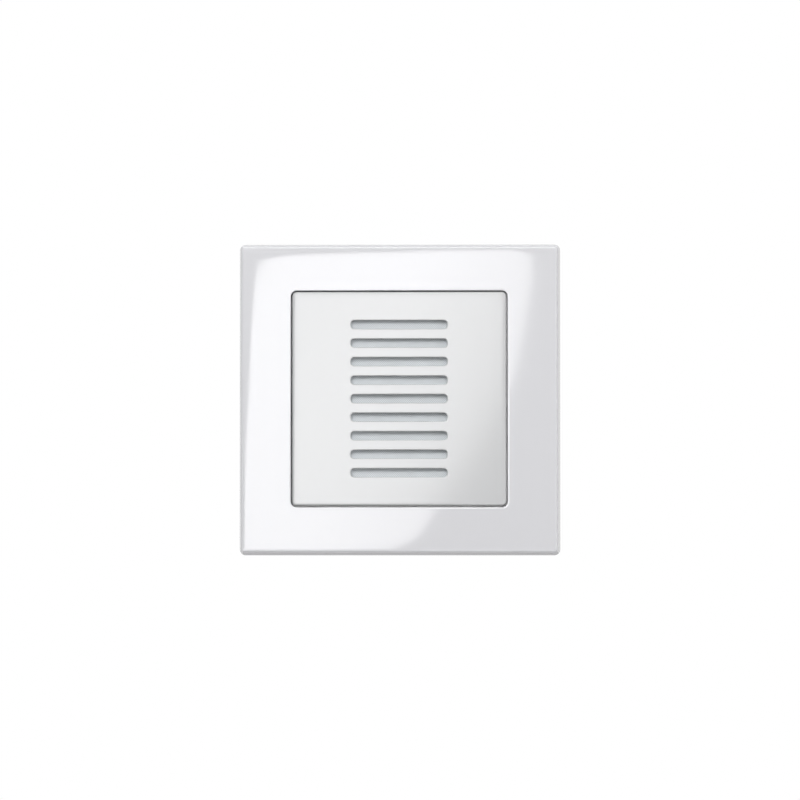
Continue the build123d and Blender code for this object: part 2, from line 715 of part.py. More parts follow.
def lead_route(joint, disc_place, bend_depth, board_place):
    """Corners of a lead's line: straight off the disc, across, and straight onto the board."""
    (disc_x, disc_z), (board_x, board_z) = disc_place, board_place
    return [(disc_x, joint, disc_z), (disc_x, lead_straight, disc_z),
            (board_x, bend_depth, board_z), (board_x, board_joint, board_z)]


red_route = lead_route(ceramic_joint, red_disc_place, lead_bend_depths[0], red_board_place)
black_route = lead_route(brass_joint, black_disc_place, lead_bend_depths[1], black_board_place)

for name, route in (("sounder_lead_red", red_route), ("sounder_lead_black", black_route)):
    radii = corner_radii(route)
    with BuildPart() as lead:
        with BuildLine() as path:
            FilletPolyline(*route, radius=radii)
        with BuildSketch(Plane(path.line @ 0, z_dir=path.line % 0)):
            Circle(lead_diameter / 2)
        sweep()
    finish(lead, name)


def solder_cone(surface, toward, place):
    """A small cone of solder on a surface at this height, rising towards the lead."""
    base = wall_plane(surface) if toward > 0 else Plane.XZ.offset(surface).rotated((180, 0, 0))
    with BuildSketch(base) as foot:
        with Locations((place[0], place[1] * toward)):
            Circle(solder_radius)
    with BuildSketch(base.offset(solder_height)) as tip:
        with Locations((place[0], place[1] * toward)):
            Circle(lead_diameter / 2 + 0.1)
    loft([foot.sketch.face(), tip.sketch.face()])


with BuildPart() as lead_solder:
    for surface, toward, point in ((ceramic_low, -1, red_route[0]), (disc_low, -1, black_route[0]),
                                   (board_front, 1, red_route[-1]),
                                   (board_front, 1, black_route[-1])):
        solder_cone(surface, toward, (point[0], point[2]))
finish(lead_solder, "lead_solder")


# ---------------------------------------------------------------- spreading claws
tongue_back = claw_pivot_depth + tongue_depth + claw_sheet / 2
swing = radians(claw_swing)
screw_path_in = ((claw_screw_c - (tongue_depth + claw_sheet / 2) * sin(swing)) / cos(swing)
                 - claw_screw_radius / cos(swing) - 0.3)
screw_path_out = claw_screw_c + claw_screw_radius + 0.3

with BuildPart() as claw_right:
    with BuildSketch(Plane.XY.offset(-claw_width / 2)):
        with BuildLine():
            FilletPolyline((claw_pivot_x, claw_pivot_depth),
                           (claw_pivot_x, claw_pivot_depth + claw_length),
                           (claw_pivot_x + claw_foot, claw_pivot_depth + claw_length),
                           radius=claw_bend)
        trace(line_width=claw_sheet)
    extrude(amount=claw_width)
    with BuildSketch(Plane.XY.offset(-claw_bead_length / 2)):
        with Locations((claw_pivot_x, claw_pivot_depth)):
            Circle(claw_bead)
    extrude(amount=claw_bead_length)
    with BuildSketch(Plane.XY.offset(-tongue_width / 2 - tongue_play)):
        with Locations((claw_pivot_x, claw_pivot_depth + (tongue_depth - claw_bend
                                                          + claw_window_end) / 2)):
            Rectangle(2 * claw_sheet, claw_window_end - tongue_depth + claw_bend)
    extrude(amount=tongue_width + 2 * tongue_play, mode=Mode.SUBTRACT)
    with BuildSketch(Plane.XY.offset(-tongue_width / 2)):
        with BuildLine():
            FilletPolyline((claw_pivot_x, claw_pivot_depth + tongue_depth - 2 * claw_bend),
                           (claw_pivot_x, claw_pivot_depth + tongue_depth),
                           (claw_pivot_x + tongue_length, claw_pivot_depth + tongue_depth),
                           radius=claw_bend)
        trace(line_width=claw_sheet)
    extrude(amount=tongue_width)
    slab(-tongue_back - 0.1, -tongue_back + claw_sheet + 0.1, screw_path_out - screw_path_in,
         2 * (claw_screw_radius + screw_room), claw_screw_radius,
         [(claw_pivot_x + (screw_path_in + screw_path_out) / 2, 0)], mode=Mode.SUBTRACT)
    tooth_pitch = claw_width / tooth_count
    for tooth in range(tooth_count + 1):
        edge = Location((claw_pivot_x + claw_foot, claw_pivot_depth + claw_length,
                         (tooth - tooth_count / 2) * tooth_pitch), (0, 45, 0))
        with Locations(edge):
            Box(tooth_depth * 1.4, 2 * claw_sheet, tooth_depth * 1.4, mode=Mode.SUBTRACT)
finish(claw_right, "claw_right")

nut_front = -tongue_back - claw_nut_gap
for name, side in (("right", 1), ("left", -1)):
    screw_place = [(side * claw_screw_x, 0)]
    with BuildPart() as claw_screw:
        drum(-claw_screw_tip, ring_thickness + turning_gap, claw_screw_radius, screw_place)
        chamfer(claw_screw.faces().sort_by(Axis.Y)[-1].edges(), 0.5)
        head_top = ring_thickness + turning_gap + claw_screw_head_height
        drum(ring_thickness + turning_gap, head_top, claw_screw_head, screw_place)
        fillet(claw_screw.faces().sort_by(Axis.Y)[0].edges(), 0.7)
        cross_recess(head_top, 1.6, 1.3, screw_place)
    finish(claw_screw, f"claw_screw_{name}")
    with BuildPart() as claw_nut:
        with BuildSketch(Plane.XY.offset(-claw_nut_size / 2)):
            with Locations((side * claw_screw_x, -nut_front + claw_nut_height / 2)):
                Rectangle(claw_nut_size, claw_nut_height)
            with Locations((side * claw_screw_x, -nut_front + claw_nut_roll)):
                Circle(claw_nut_roll, mode=Mode.INTERSECT)
        extrude(amount=claw_nut_size)
        drum(nut_front - claw_nut_height, nut_front, claw_screw_radius + turning_gap,
             screw_place, mode=Mode.SUBTRACT)
    finish(claw_nut, f"claw_nut_{name}")

with BuildPart() as claw_left:
    mirror(claw_right.part, about=Plane.YZ)
finish(claw_left, "claw_left")

# ---------------------------------------------------------------- terminals
terminal_middle_z = (terminal_bottom + terminal_top) / 2
base_bottom = -pot_size / 2 + pot_wall + board_room
cage_cell = (cage_width + 2 * cage_play, cage_length + 2 * cage_play)
bar_length = bar_end_z - cage_z + cage_cell[1] / 2 + 0.5
bar_middle_z = bar_end_z - bar_length / 2
wire_entries = [(pole_x, -wire_height) for pole_x in pole_places]

with BuildPart() as terminal_block:
    slab(terminal_rear, terminal_base_low, 2 * terminal_half, terminal_top - terminal_bottom,
         places=[(0, terminal_middle_z)])
    slab(terminal_base_low, board_rear, 2 * terminal_half, terminal_top - base_bottom,
         places=[(0, (terminal_top + base_bottom) / 2)])
    slab(cage_rear - cage_travel - cage_play, cage_front + cage_play, *cage_cell,
         places=[(x, cage_z) for x in pole_places], mode=Mode.SUBTRACT)
    slab(bar_rear, bar_front, bar_width, bar_length,
         places=[(x, bar_middle_z) for x in pole_places], mode=Mode.SUBTRACT)
    slab(bar_front, board_rear, pin_width, bar_thickness,
         places=[(x, pin_z) for x in pole_places], mode=Mode.SUBTRACT)
    drum(terminal_rear, screw_seat, terminal_screw_head + terminal_head_room,
         [(x, cage_z) for x in pole_places], mode=Mode.SUBTRACT)
    drum(terminal_rear, cage_rear - cage_travel, terminal_screw_radius + screw_room,
         [(x, cage_z) for x in pole_places], mode=Mode.SUBTRACT)
    with BuildSketch(Plane.XY.offset(terminal_bottom)) as holes:
        with Locations(*wire_entries):
            Circle(wire_hole)
    extrude(holes.sketch, amount=cage_z - terminal_bottom, mode=Mode.SUBTRACT)
    with BuildSketch(Plane.XY.offset(terminal_bottom)) as mouths:
        with Locations(*wire_entries):
            Circle(wire_funnel)
    extrude(mouths.sketch, amount=wire_funnel_depth,
            taper=degrees(atan2(wire_funnel - wire_hole, wire_funnel_depth)), mode=Mode.SUBTRACT)
finish(terminal_block, "terminal_block")

for pole, pole_x in enumerate(pole_places, start=1):
    with BuildPart() as terminal_cage:
        slab(cage_rear, cage_front, cage_width, cage_length, 0.4, [(pole_x, cage_z)])
        slab(cage_rear + cage_top, cage_front - cage_floor, cage_width - 2 * cage_wall,
             cage_length + 1, places=[(pole_x, cage_z)], mode=Mode.SUBTRACT)
        drum(cage_rear, cage_rear + cage_top, terminal_screw_radius + turning_gap,
             [(pole_x, cage_z)], mode=Mode.SUBTRACT)
    finish(terminal_cage, f"terminal_cage_{pole}")

    with BuildPart() as terminal_screw:
        drum(screw_seat, bar_rear - turning_gap, terminal_screw_radius, [(pole_x, cage_z)])
        drum(screw_seat - terminal_screw_head_height, screw_seat - turning_gap,
             terminal_screw_head, [(pole_x, cage_z)])
        drum(screw_seat - turning_gap, screw_seat, terminal_screw_radius, [(pole_x, cage_z)])
        fillet(terminal_screw.faces().sort_by(Axis.Y)[-1].edges(), 0.4)
        slab(screw_seat - terminal_screw_head_height, screw_seat - terminal_screw_head_height + 1,
             2 * terminal_screw_head, 0.7, places=[(pole_x, cage_z)], mode=Mode.SUBTRACT)
    finish(terminal_screw, f"terminal_screw_{pole}")

with BuildPart() as contact_bars:
    slab(bar_rear, bar_front, bar_width, bar_length,
         places=[(x, bar_middle_z) for x in pole_places])
    slab(bar_front, board_front + pin_through, pin_width, bar_thickness,
         places=[(x, pin_z) for x in pole_places])
finish(contact_bars, "contact_bars")

# ---------------------------------------------------------------- export
os.makedirs("parts", exist_ok=True)
for piece in finished:
    export_step(piece, f"parts/{piece.label}.step")
print(len(finished), "pieces")
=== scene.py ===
import json
import math
from functools import partial

import bmesh
import bpy
import numpy as np
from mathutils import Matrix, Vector


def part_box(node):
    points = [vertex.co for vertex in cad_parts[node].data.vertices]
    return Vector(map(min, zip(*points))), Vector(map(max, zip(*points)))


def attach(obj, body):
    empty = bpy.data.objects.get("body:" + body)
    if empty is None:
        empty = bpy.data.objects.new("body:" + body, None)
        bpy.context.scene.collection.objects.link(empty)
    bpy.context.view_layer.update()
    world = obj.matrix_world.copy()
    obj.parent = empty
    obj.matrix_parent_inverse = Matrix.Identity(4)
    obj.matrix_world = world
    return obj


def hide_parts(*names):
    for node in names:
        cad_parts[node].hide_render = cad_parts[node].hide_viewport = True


bl_info = {
    "name": "Alarm siren",
    "version": (1, 0, 0),
    "blender": (4, 5, 0),
    "location": "3D View > Sidebar > Siren",
    "description": "Builds the visual pieces of a flush-mounted alarm siren round its packed frame",
    "category": "Object",
}

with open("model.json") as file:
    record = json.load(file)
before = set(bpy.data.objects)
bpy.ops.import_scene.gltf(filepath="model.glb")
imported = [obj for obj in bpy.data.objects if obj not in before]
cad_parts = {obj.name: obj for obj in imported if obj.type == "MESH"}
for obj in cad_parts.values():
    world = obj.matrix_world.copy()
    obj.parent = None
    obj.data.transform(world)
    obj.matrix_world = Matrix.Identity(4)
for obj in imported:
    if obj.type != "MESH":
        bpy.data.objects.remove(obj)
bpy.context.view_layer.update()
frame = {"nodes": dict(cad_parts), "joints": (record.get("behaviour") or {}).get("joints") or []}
JOINTS = {joint["name"]: joint for joint in frame["joints"]}
MM = 0.001


# ---------------------------------------------------------------- sizes and colours to set
def length_property(name, description, millimetres):
    """A length in metres whose default is given in millimetres."""
    return bpy.props.FloatProperty(name=name, description=description, default=millimetres * MM,
                                   unit="LENGTH", subtype="DISTANCE", precision=5)


def colour_property(name, description, default):
    """A linear colour."""
    return bpy.props.FloatVectorProperty(name=name, description=description, default=default,
                                         size=3, min=0.0, max=1.0, subtype="COLOR")


def factor_property(name, description, default):
    """A number from 0 to 1."""
    return bpy.props.FloatProperty(name=name, description=description, default=default,
                                   min=0.0, max=1.0, subtype="FACTOR")


class CoverSizes(bpy.types.PropertyGroup):
    """Sizes of the cover frame and the slotted plate that their boxes don't give."""
    crown_radius: length_property("Crown radius", "Radius of the dome of both fronts", 1100)
    frame_corner: length_property("Frame corner", "Outer corners of the cover frame", 1.5)
    frame_edge: length_property("Frame edge", "Rounding between front and sides", 0.8)
    frame_lean: length_property("Frame lean", "How far the sides lean in at the front", 0.575)
    frame_skin: length_property("Frame skin", "Thickness of the cover frame's sides", 2.0)
    roof_height: length_property("Roof height", "Hollow under the cover frame's front", 5.88)
    pillow_width: length_property("Pillow width", "Strip where the front falls to its edge", 4.0)
    pillow_drop: length_property("Pillow drop", "How far it has fallen at the edge", 0.03)
    window_gap: length_property("Window gap", "Joint between plate and cover frame", 0.4)
    window_edge: length_property("Window edge", "Rounding of the window's front edge", 0.2)
    collar_wall: length_property("Collar wall", "Wall round the window", 1.5)
    ledge_width: length_property("Ledge width", "Inward step under the plate's skirt", 2.2)
    ledge_low: length_property("Ledge rear", "Height of the ledge's rear face", 1.4)
    ledge_high: length_property("Ledge front", "Height of the ledge's front face", 2.8)
    rib_spacing: length_property("Rib spacing", "Distance between the two ribs of a side", 34.0)
    rib_thickness: length_property("Rib thickness", "Thickness of a rib", 1.0)
    plate_corner: length_property("Plate corner", "Corners of the slotted plate", 1.1)
    plate_edge: length_property("Plate edge", "Rounding of the plate's rim", 0.6)
    plate_skin: length_property("Plate thickness", "Thickness of the plate", 2.0)
    skirt_wall: length_property("Skirt wall", "Thickness of the plate's skirt", 1.5)
    skirt_end: length_property("Skirt end", "Height where the skirt ends", 3.0)
    slot_length: length_property("Slot length", "Length of a sound slot", 24.8)
    slot_height: length_property("Slot height", "Height of a sound slot", 2.2)
    slot_pitch: length_property("Slot pitch", "Distance between sound slots", 4.77)
    slot_corner: length_property("Slot corner", "Corners of a sound slot", 0.9)
    slot_edge: length_property("Slot edge", "Rounding of a slot's front edge", 0.25)
    slot_count: bpy.props.IntProperty(name="Slots", description="Number of sound slots",
                                      default=9, min=1)
    leg_width: length_property("Leg width", "Width of a leg of the plate", 6.0)
    leg_thickness: length_property("Leg thickness", "Thickness of a leg", 1.8)
    leg_offset: length_property("Leg offset", "Legs from the middle, sideways", 9.0)
    leg_middle: length_property("Leg middle", "Legs from the middle, up and down", 22.4)
    leg_notch: length_property("Leg notch", "Depth of the notch for the leaf spring", 0.3)


class Finishes(bpy.types.PropertyGroup):
    """Colours and surface values of the siren's materials."""
    cover: colour_property("Cover", "Glossy cover plastic", (0.80, 0.80, 0.825))
    cover_roughness: factor_property("Frame roughness", "Roughness of the cover frame", 0.045)
    plate: colour_property("Plate", "Glossy plate plastic", (0.685, 0.690, 0.698))
    plate_roughness: factor_property("Plate roughness", "Roughness of the plate", 0.10)
    gauze: colour_property("Gauze", "Woven dust gauze", (0.64, 0.67, 0.69))
    galvanised: colour_property("Galvanised steel", "Support ring", (0.60, 0.62, 0.64))
    zinc: colour_property("Zinc plating", "Screws and nuts", (0.70, 0.71, 0.73))
    case: colour_property("Case", "Sounder case", (0.60, 0.61, 0.62))
    housing: colour_property("Housing", "Insert in the wall box", (0.045, 0.048, 0.052))
    terminal: colour_property("Terminal block", "Terminal plastic", (0.42, 0.44, 0.45))


class StageValues(bpy.types.PropertyGroup):
    """Camera, lights and floor."""
    lens: bpy.props.FloatProperty(name="Lens", description="Focal length in millimetres",
                                  default=250.0, min=10.0, subtype="DISTANCE_CAMERA")
    view_width: length_property("View width", "Width seen at the front plate", 205.8)
    azimuth: bpy.props.FloatProperty(name="Azimuth", description="Camera to the right",
                                     default=math.radians(1.3), subtype="ANGLE")
    elevation: bpy.props.FloatProperty(name="Elevation", description="Camera above the siren",
                                       default=math.radians(-1.8), subtype="ANGLE")
    aim_right: length_property("Aim right", "Aim point right of the plate's middle", 0.24)
    aim_up: length_property("Aim up", "Aim point above the plate's middle", -0.36)
    floor_drop: length_property("Floor drop", "Floor below the siren's middle", 350.0)
    floor_radius: length_property("Floor radius", "Radius of the round floor", 3000.0)
    key_distance: length_property("Key distance", "Main light card in front of the wall", 2200.0)
    key_strength: bpy.props.FloatProperty(name="Key strength", description="Its radiance",
                                          default=7.0, min=0.0)
    top_strength: bpy.props.FloatProperty(name="Top strength", description="Overhead card",
                                          default=6.6, min=0.0)
    side_strength: bpy.props.FloatProperty(name="Side strength", description="Card on the right",
                                           default=1.3, min=0.0)
    low_strength: bpy.props.FloatProperty(name="Low strength", description="Card low behind it",
                                          default=2.0, min=0.0)
    rim_strength: bpy.props.FloatProperty(name="Rim strength",
                                          description="Low card that only shows in reflections",
                                          default=8.0, min=0.0)
    back_light: factor_property("Back light", "Radiance of the room behind the siren", 0.78)
    front_light: factor_property("Front light", "Radiance of the room before it", 0.20)
    low_light: factor_property("Low light", "Share of that light that comes from below", 0.15)


# Outline of the main light card, in metres to the right and up from the siren's middle line.
KEY_OUTLINE = (
    (-0.330, 0.120), (-0.322, 0.180), (-0.308, 0.240), (-0.290, 0.292), (-0.268, 0.320),
    (-0.230, 0.336), (-0.150, 0.345), (0.020, 0.360), (0.140, 0.365), (0.172, 0.340),
    (0.174, 0.268), (0.158, 0.170), (0.142, 0.099), (0.088, 0.000), (0.011, -0.116),
    (-0.024, -0.173), (-0.070, -0.251), (-0.150, -0.300), (-0.380, -0.310), (-0.400, -0.280),
    (-0.375, -0.120), (-0.345, 0.030))
# Radiance of the card: at the middle line, and its change per metre to the right and up.
KEY_FALL = (0.80, -1.38, 0.55)
# The other cards: name, degrees to the right and up, then distance, width and height in metres.
CARDS = (("top", -8.0, 23.5, 2.0, 1.9, 0.7), ("side", 52.0, 0.0, 2.2, 1.9, 1.6),
         ("low", 180.0, -45.0, 0.45, 0.6, 0.4), ("rim", 0.0, -38.0, 0.8, 1.2, 0.5))
CARD_CORNER = 0.1


# ---------------------------------------------------------------- mesh helpers
def rounded_ring(width, height, radius, across, up, corner, centre=(0.0, 0.0)):
    """A closed rounded rectangle as (x, z) points, anticlockwise from its lower left side."""
    half_w, half_h = width / 2, height / 2
    inner_w, inner_h = half_w - radius, half_h - radius
    sides = (((-inner_w, -half_h), (inner_w, -half_h), across, (inner_w, -inner_h), -90),
             ((half_w, -inner_h), (half_w, inner_h), up, (inner_w, inner_h), 0),
             ((inner_w, half_h), (-inner_w, half_h), across, (-inner_w, inner_h), 90),
             ((-half_w, inner_h), (-half_w, -inner_h), up, (-inner_w, -inner_h), 180))
    points = []
    for start, end, steps, middle, first_angle in sides:
        share = np.arange(steps)[:, None] / steps
        points.append(np.array(start) * (1 - share) + np.array(end) * share)
        angle = np.radians(first_angle + 90 * np.arange(corner) / corner)
        points.append(np.array(middle) + radius * np.c_[np.cos(angle), np.sin(angle)])
    return np.concatenate(points) + np.array(centre)


def lifted(ring, depth):
    """(x, z) points as (x, y, z) points, where depth is one y or one for each point."""
    return np.c_[ring[:, 0], np.broadcast_to(depth, len(ring)), ring[:, 1]]


def turn_angles(steps):
    """Equal steps round a full turn, in radians."""
    return np.arange(steps) * 2 * math.pi / steps


def rounding(steps):
    """A quarter round from a side on to a face, as shares of its radius left and used up."""
    return [(1 - math.cos(bend), 1 - math.sin(bend))
            for bend in np.linspace(0, math.pi / 2, steps)[1:]]


def ring_on_axis(centre, radius, angle, y):
    """A circle about a line along Y, where radius and y are one value or one for each angle."""
    return np.c_[centre[0] + radius * np.cos(angle), np.broadcast_to(y, len(angle)),
                 centre[1] + radius * np.sin(angle)]


def middle_of(low, high):
    """Middle of a box, as (x, z)."""
    return (low.x + high.x) / 2, (low.z + high.z) / 2


def blended(first, last, steps):
    """The rings between two rings of equal length, without the two themselves."""
    return [first + (last - first) * i / steps for i in range(1, steps)]


class Shell:
    """Collects rows of points and the quads between them."""

    def __init__(self):
        self.points = []
        self.faces = []

    def add(self, points):
        start = len(self.points)
        self.points.extend(np.asarray(points, float).tolist())
        return range(start, start + len(points))

    def band(self, a, b, closed=True):
        """Quads between two rows of point numbers."""
        n = len(a)
        for i in range(n if closed else n - 1):
            j = (i + 1) % n
            self.faces.append((a[i], a[j], b[j], b[i]))

    def loft(self, rows, closed=True, back_to_start=False):
        """Joins rows of points one after the other, and the last to the first if asked."""
        rows = [self.add(row) for row in rows]
        for a, b in zip(rows, rows[1:]):
            self.band(a, b, closed)
        if back_to_start:
            self.band(rows[-1], rows[0], closed)
        return rows

    def cap(self, row):
        """Closes a row with triangles to its middle."""
        middle = np.mean([self.points[i] for i in row], axis=0)
        centre = self.add([middle])[0]
        for i in range(len(row)):
            self.faces.append((row[i], row[(i + 1) % len(row)], centre))

    def object(self, name, sharp_degrees=32.0):
        """The finished mesh as an object in the scene, with shared corners merged."""
        mesh = bpy.data.meshes.new(name)
        mesh.from_pydata(self.points, [], self.faces)
        work = bmesh.new()
        work.from_mesh(mesh)
        bmesh.ops.remove_doubles(work, verts=work.verts, dist=1e-7)
        bmesh.ops.dissolve_degenerate(work, edges=work.edges, dist=1e-8)
        bmesh.ops.recalc_face_normals(work, faces=work.faces)
        work.to_mesh(mesh)
        work.free()
        mesh.shade_smooth()
        mesh.set_sharp_from_angle(angle=math.radians(sharp_degrees))
        made = bpy.data.objects.new(name, mesh)
        bpy.context.scene.collection.objects.link(made)
        return made


def slab_rows(low, high, bevel, across=2, up=2, corner=3):
    """Rows of a block between two corners, with all its edges rounded off by bevel."""
    low, high = np.array(low), np.array(high)
    middle, size = (low + high) / 2, high - low
    rows = []
    for inset, depth in ((bevel, high[1]), (0, high[1] - bevel), (0, low[1] + bevel),
                         (bevel, low[1])):
        ring = rounded_ring(size[0] - 2 * inset, size[2] - 2 * inset, max(bevel - inset, 0)
                            + 0.2 * bevel, across, up, corner, (middle[0], middle[2]))
        rows.append(lifted(ring, depth))
    return rows


def add_block(shell, low, high, bevel):
    """A closed block with softened edges."""
    rows = shell.loft(slab_rows(low, high, bevel))
    shell.cap(rows[0])
    shell.cap(rows[-1])


# ---------------------------------------------------------------- turned and threaded shapes
TURN_STEPS = 48
# Share of a thread's depth that is gone where the thread has faded out.
FADED_DEPTH = 0.3


def turned_rows(profile, centre, steps=TURN_STEPS):
    """Rows of a turned shape about a line along Y: profile holds (radius, y) pairs."""
    angle = turn_angles(steps)
    return [ring_on_axis(centre, radius, angle, y) for radius, y in profile]


def threaded_rows(crest, depth, pitch, start, end, centre, run_out, steps=36, per_turn=8,
                  roundness=0.35):
    """Rows of a right-hand screw thread along Y from start to end, fading out at both ends."""
    count = max(2, int(round(abs(end - start) / pitch * per_turn)))
    angle = turn_angles(steps)
    rows = []
    for y in np.linspace(start, end, count + 1):
        phase = ((y - start) / pitch + angle / (2 * math.pi)) % 1.0
        ridge = np.clip((1 - 2 * np.abs(phase - 0.5)) * (1 + roundness) - roundness / 2, 0, 1)
        fade = min(1.0, abs(y - start) / run_out, abs(end - y) / run_out)
        radius = crest - depth * (1 - ridge) * fade - depth * FADED_DEPTH * (1 - fade)
        rows.append(ring_on_axis(centre, radius, angle, y))
    return rows


def cross_depth(x, z, radius, depth, lean):
    """Depth of a cross recess at points on a screw head."""
    arm, core, core_slope = 0.17 * radius, 0.45 * radius, 0.25
    bar_a = np.minimum(arm - np.abs(x), radius - np.abs(z))
    bar_b = np.minimum(arm - np.abs(z), radius - np.abs(x))
    inside = np.maximum(bar_a, bar_b) + core_slope * np.maximum(0, core - np.hypot(x, z))
    return depth * np.clip(inside / lean, 0, 1)


def slot_depth(x, z, half_width, depth, lean):
    """Depth of a straight driver slot at points on a screw head."""
    return depth * np.clip((half_width - np.abs(z)) / lean + 0.5, 0, 1)


def add_screw(shell, centre, head_low, head_top, head_radius, edge, thread, recess):
    """A screw along Y: thread is (crest, depth, pitch, start, end), recess(x, z) the driver cut.

    head_low is the seat under the head and head_top its outer face, both as y.
    """
    out = math.copysign(1.0, head_top - head_low)
    crest, depth, pitch, start, end = thread
    steps, face_rows, core = 96, 34, 0.04
    chamfer = 0.08 * MM
    angle = turn_angles(steps)
    side = [(crest * 0.98, head_low), (head_radius - chamfer, head_low),
            (head_radius, head_low + out * chamfer)]
    corner = [(head_radius - edge + edge * math.cos(t), head_top - out * edge * (1 - math.sin(t)))
              for t in np.linspace(0, math.pi / 2, 7)]
    loops = turned_rows(side + corner, centre, steps)
    flat = head_radius - edge
    for radius in np.linspace(flat, core * flat, face_rows)[1:]:
        x, z = radius * np.cos(angle), radius * np.sin(angle)
        loops.append(np.c_[centre[0] + x, head_top - out * recess(x, z), centre[1] + z])
    made = shell.loft(loops)
    shell.cap(made[-1])
    body = threaded_rows(crest, depth, pitch, start, end, centre, 0.6 * pitch)
    point = turned_rows([(crest - depth, end), (0.55 * crest, end)], centre, len(body[0]))
    made = shell.loft(body[:-1] + point)
    shell.cap(made[-1])
    shell.cap(made[0])


# ---------------------------------------------------------------- shader helpers
def new_group(name, inputs, outputs):
    """An empty node group with float inputs {name: default} and outputs {name: socket type}."""
    group = bpy.data.node_groups.new(name, "ShaderNodeTree")
    for label, default in inputs.items():
        socket = group.interface.new_socket(label, in_out="INPUT", socket_type="NodeSocketFloat")
        socket.default_value = default
    for label, kind in outputs.items():
        group.interface.new_socket(label, in_out="OUTPUT", socket_type=kind)
    nodes = group.nodes
    return group, nodes.new("NodeGroupInput"), nodes.new("NodeGroupOutput")


def math_node(tree, operation, a, b=None, c=None, clamp=False):
    """A Math node fed by sockets or plain numbers, and its output."""
    node = tree.nodes.new("ShaderNodeMath")
    node.operation = operation
    node.use_clamp = clamp
    for i, value in enumerate((a, b, c)):
        if isinstance(value, bpy.types.NodeSocket):
            tree.links.new(value, node.inputs[i])
        elif value is not None:
            node.inputs[i].default_value = value
    return node.outputs[0]


def noise(tree, coordinates, scale, detail=3.0, roughness=0.55):
    """A noise texture's value. scale is a socket or a number of features per metre."""
    node = tree.nodes.new("ShaderNodeTexNoise")
    node.inputs["Detail"].default_value = detail
    node.inputs["Roughness"].default_value = roughness
    tree.links.new(coordinates, node.inputs["Vector"])
    if isinstance(scale, bpy.types.NodeSocket):
        tree.links.new(scale, node.inputs["Scale"])
    else:
        node.inputs["Scale"].default_value = scale
    return node.outputs["Fac"]


def object_coordinates(tree, stretch=None):
    """Coordinates that stay with the piece, in metres, stretched along the axes if asked."""
    source = tree.nodes.new("ShaderNodeTexCoord").outputs["Object"]
    if stretch is None:
        return source
    mapping = tree.nodes.new("ShaderNodeMapping")
    mapping.inputs["Scale"].default_value = stretch
    tree.links.new(source, mapping.inputs["Vector"])
    return mapping.outputs["Vector"]


def split_axes(tree, vector):
    """The X, Y and Z of a vector."""
    node = tree.nodes.new("ShaderNodeSeparateXYZ")
    tree.links.new(vector, node.inputs["Vector"])
    return node.outputs


def moulded_skin():
    """Surface of moulded plastic or rubber: a fine grain, and a slow change of tone."""
    group = bpy.data.node_groups.get("moulded_skin")
    if group:
        return group
    group, given, made = new_group(
        "moulded_skin", {"Grain Size": 0.0004, "Flow Size": 0.02},
        {"Height": "NodeSocketFloat", "Tone": "NodeSocketFloat"})
    where = object_coordinates(group)
    grain = noise(group, where, math_node(group, "DIVIDE", 1.0, given.outputs["Grain Size"]))
    flow = noise(group, where, math_node(group, "DIVIDE", 1.0, given.outputs["Flow Size"]), 2.0)
    group.links.new(grain, made.inputs["Height"])
    group.links.new(math_node(group, "MULTIPLY", flow, 0.8), made.inputs["Tone"])
    return group


def metal_grain():
    """Surface of sheet, wire and turned metal: drawn streaks over cloudy plating."""
    group = bpy.data.node_groups.get("metal_grain")
    if group:
        return group
    group, given, made = new_group(
        "metal_grain", {"Streak Size": 0.0002, "Cloud Size": 0.003},
        {"Height": "NodeSocketFloat", "Tone": "NodeSocketFloat"})
    along = object_coordinates(group, (1.0, 0.08, 0.08))
    where = object_coordinates(group)
    streaks = noise(group, along, math_node(group, "DIVIDE", 1.0, given.outputs["Streak Size"]))
    clouds = noise(group, where, math_node(group, "DIVIDE", 1.0, given.outputs["Cloud Size"]))
    group.links.new(streaks, made.inputs["Height"])
    both = math_node(group, "MULTIPLY", streaks, 0.35)
    rest = math_node(group, "MULTIPLY", clouds, 0.65)
    group.links.new(math_node(group, "ADD", both, rest), made.inputs["Tone"])
    return group


def rubbed_edges():
    """Mask of edges and corners that handling has polished, broken up by a noise."""
    group = bpy.data.node_groups.get("rubbed_edges")
    if group:
        return group
    group, given, made = new_group("rubbed_edges", {"Reach": 0.06, "Patch Size": 0.0015},
                                   {"Mask": "NodeSocketFloat"})
    sharpness = group.nodes.new("ShaderNodeNewGeometry").outputs["Pointiness"]
    above = math_node(group, "SUBTRACT", sharpness, 0.5)
    edge = math_node(group, "DIVIDE", above, given.outputs["Reach"], clamp=True)
    patch = noise(group, object_coordinates(group),
                  math_node(group, "DIVIDE", 1.0, given.outputs["Patch Size"]))
    group.links.new(math_node(group, "MULTIPLY", edge, patch, clamp=True), made.inputs["Mask"])
    return group


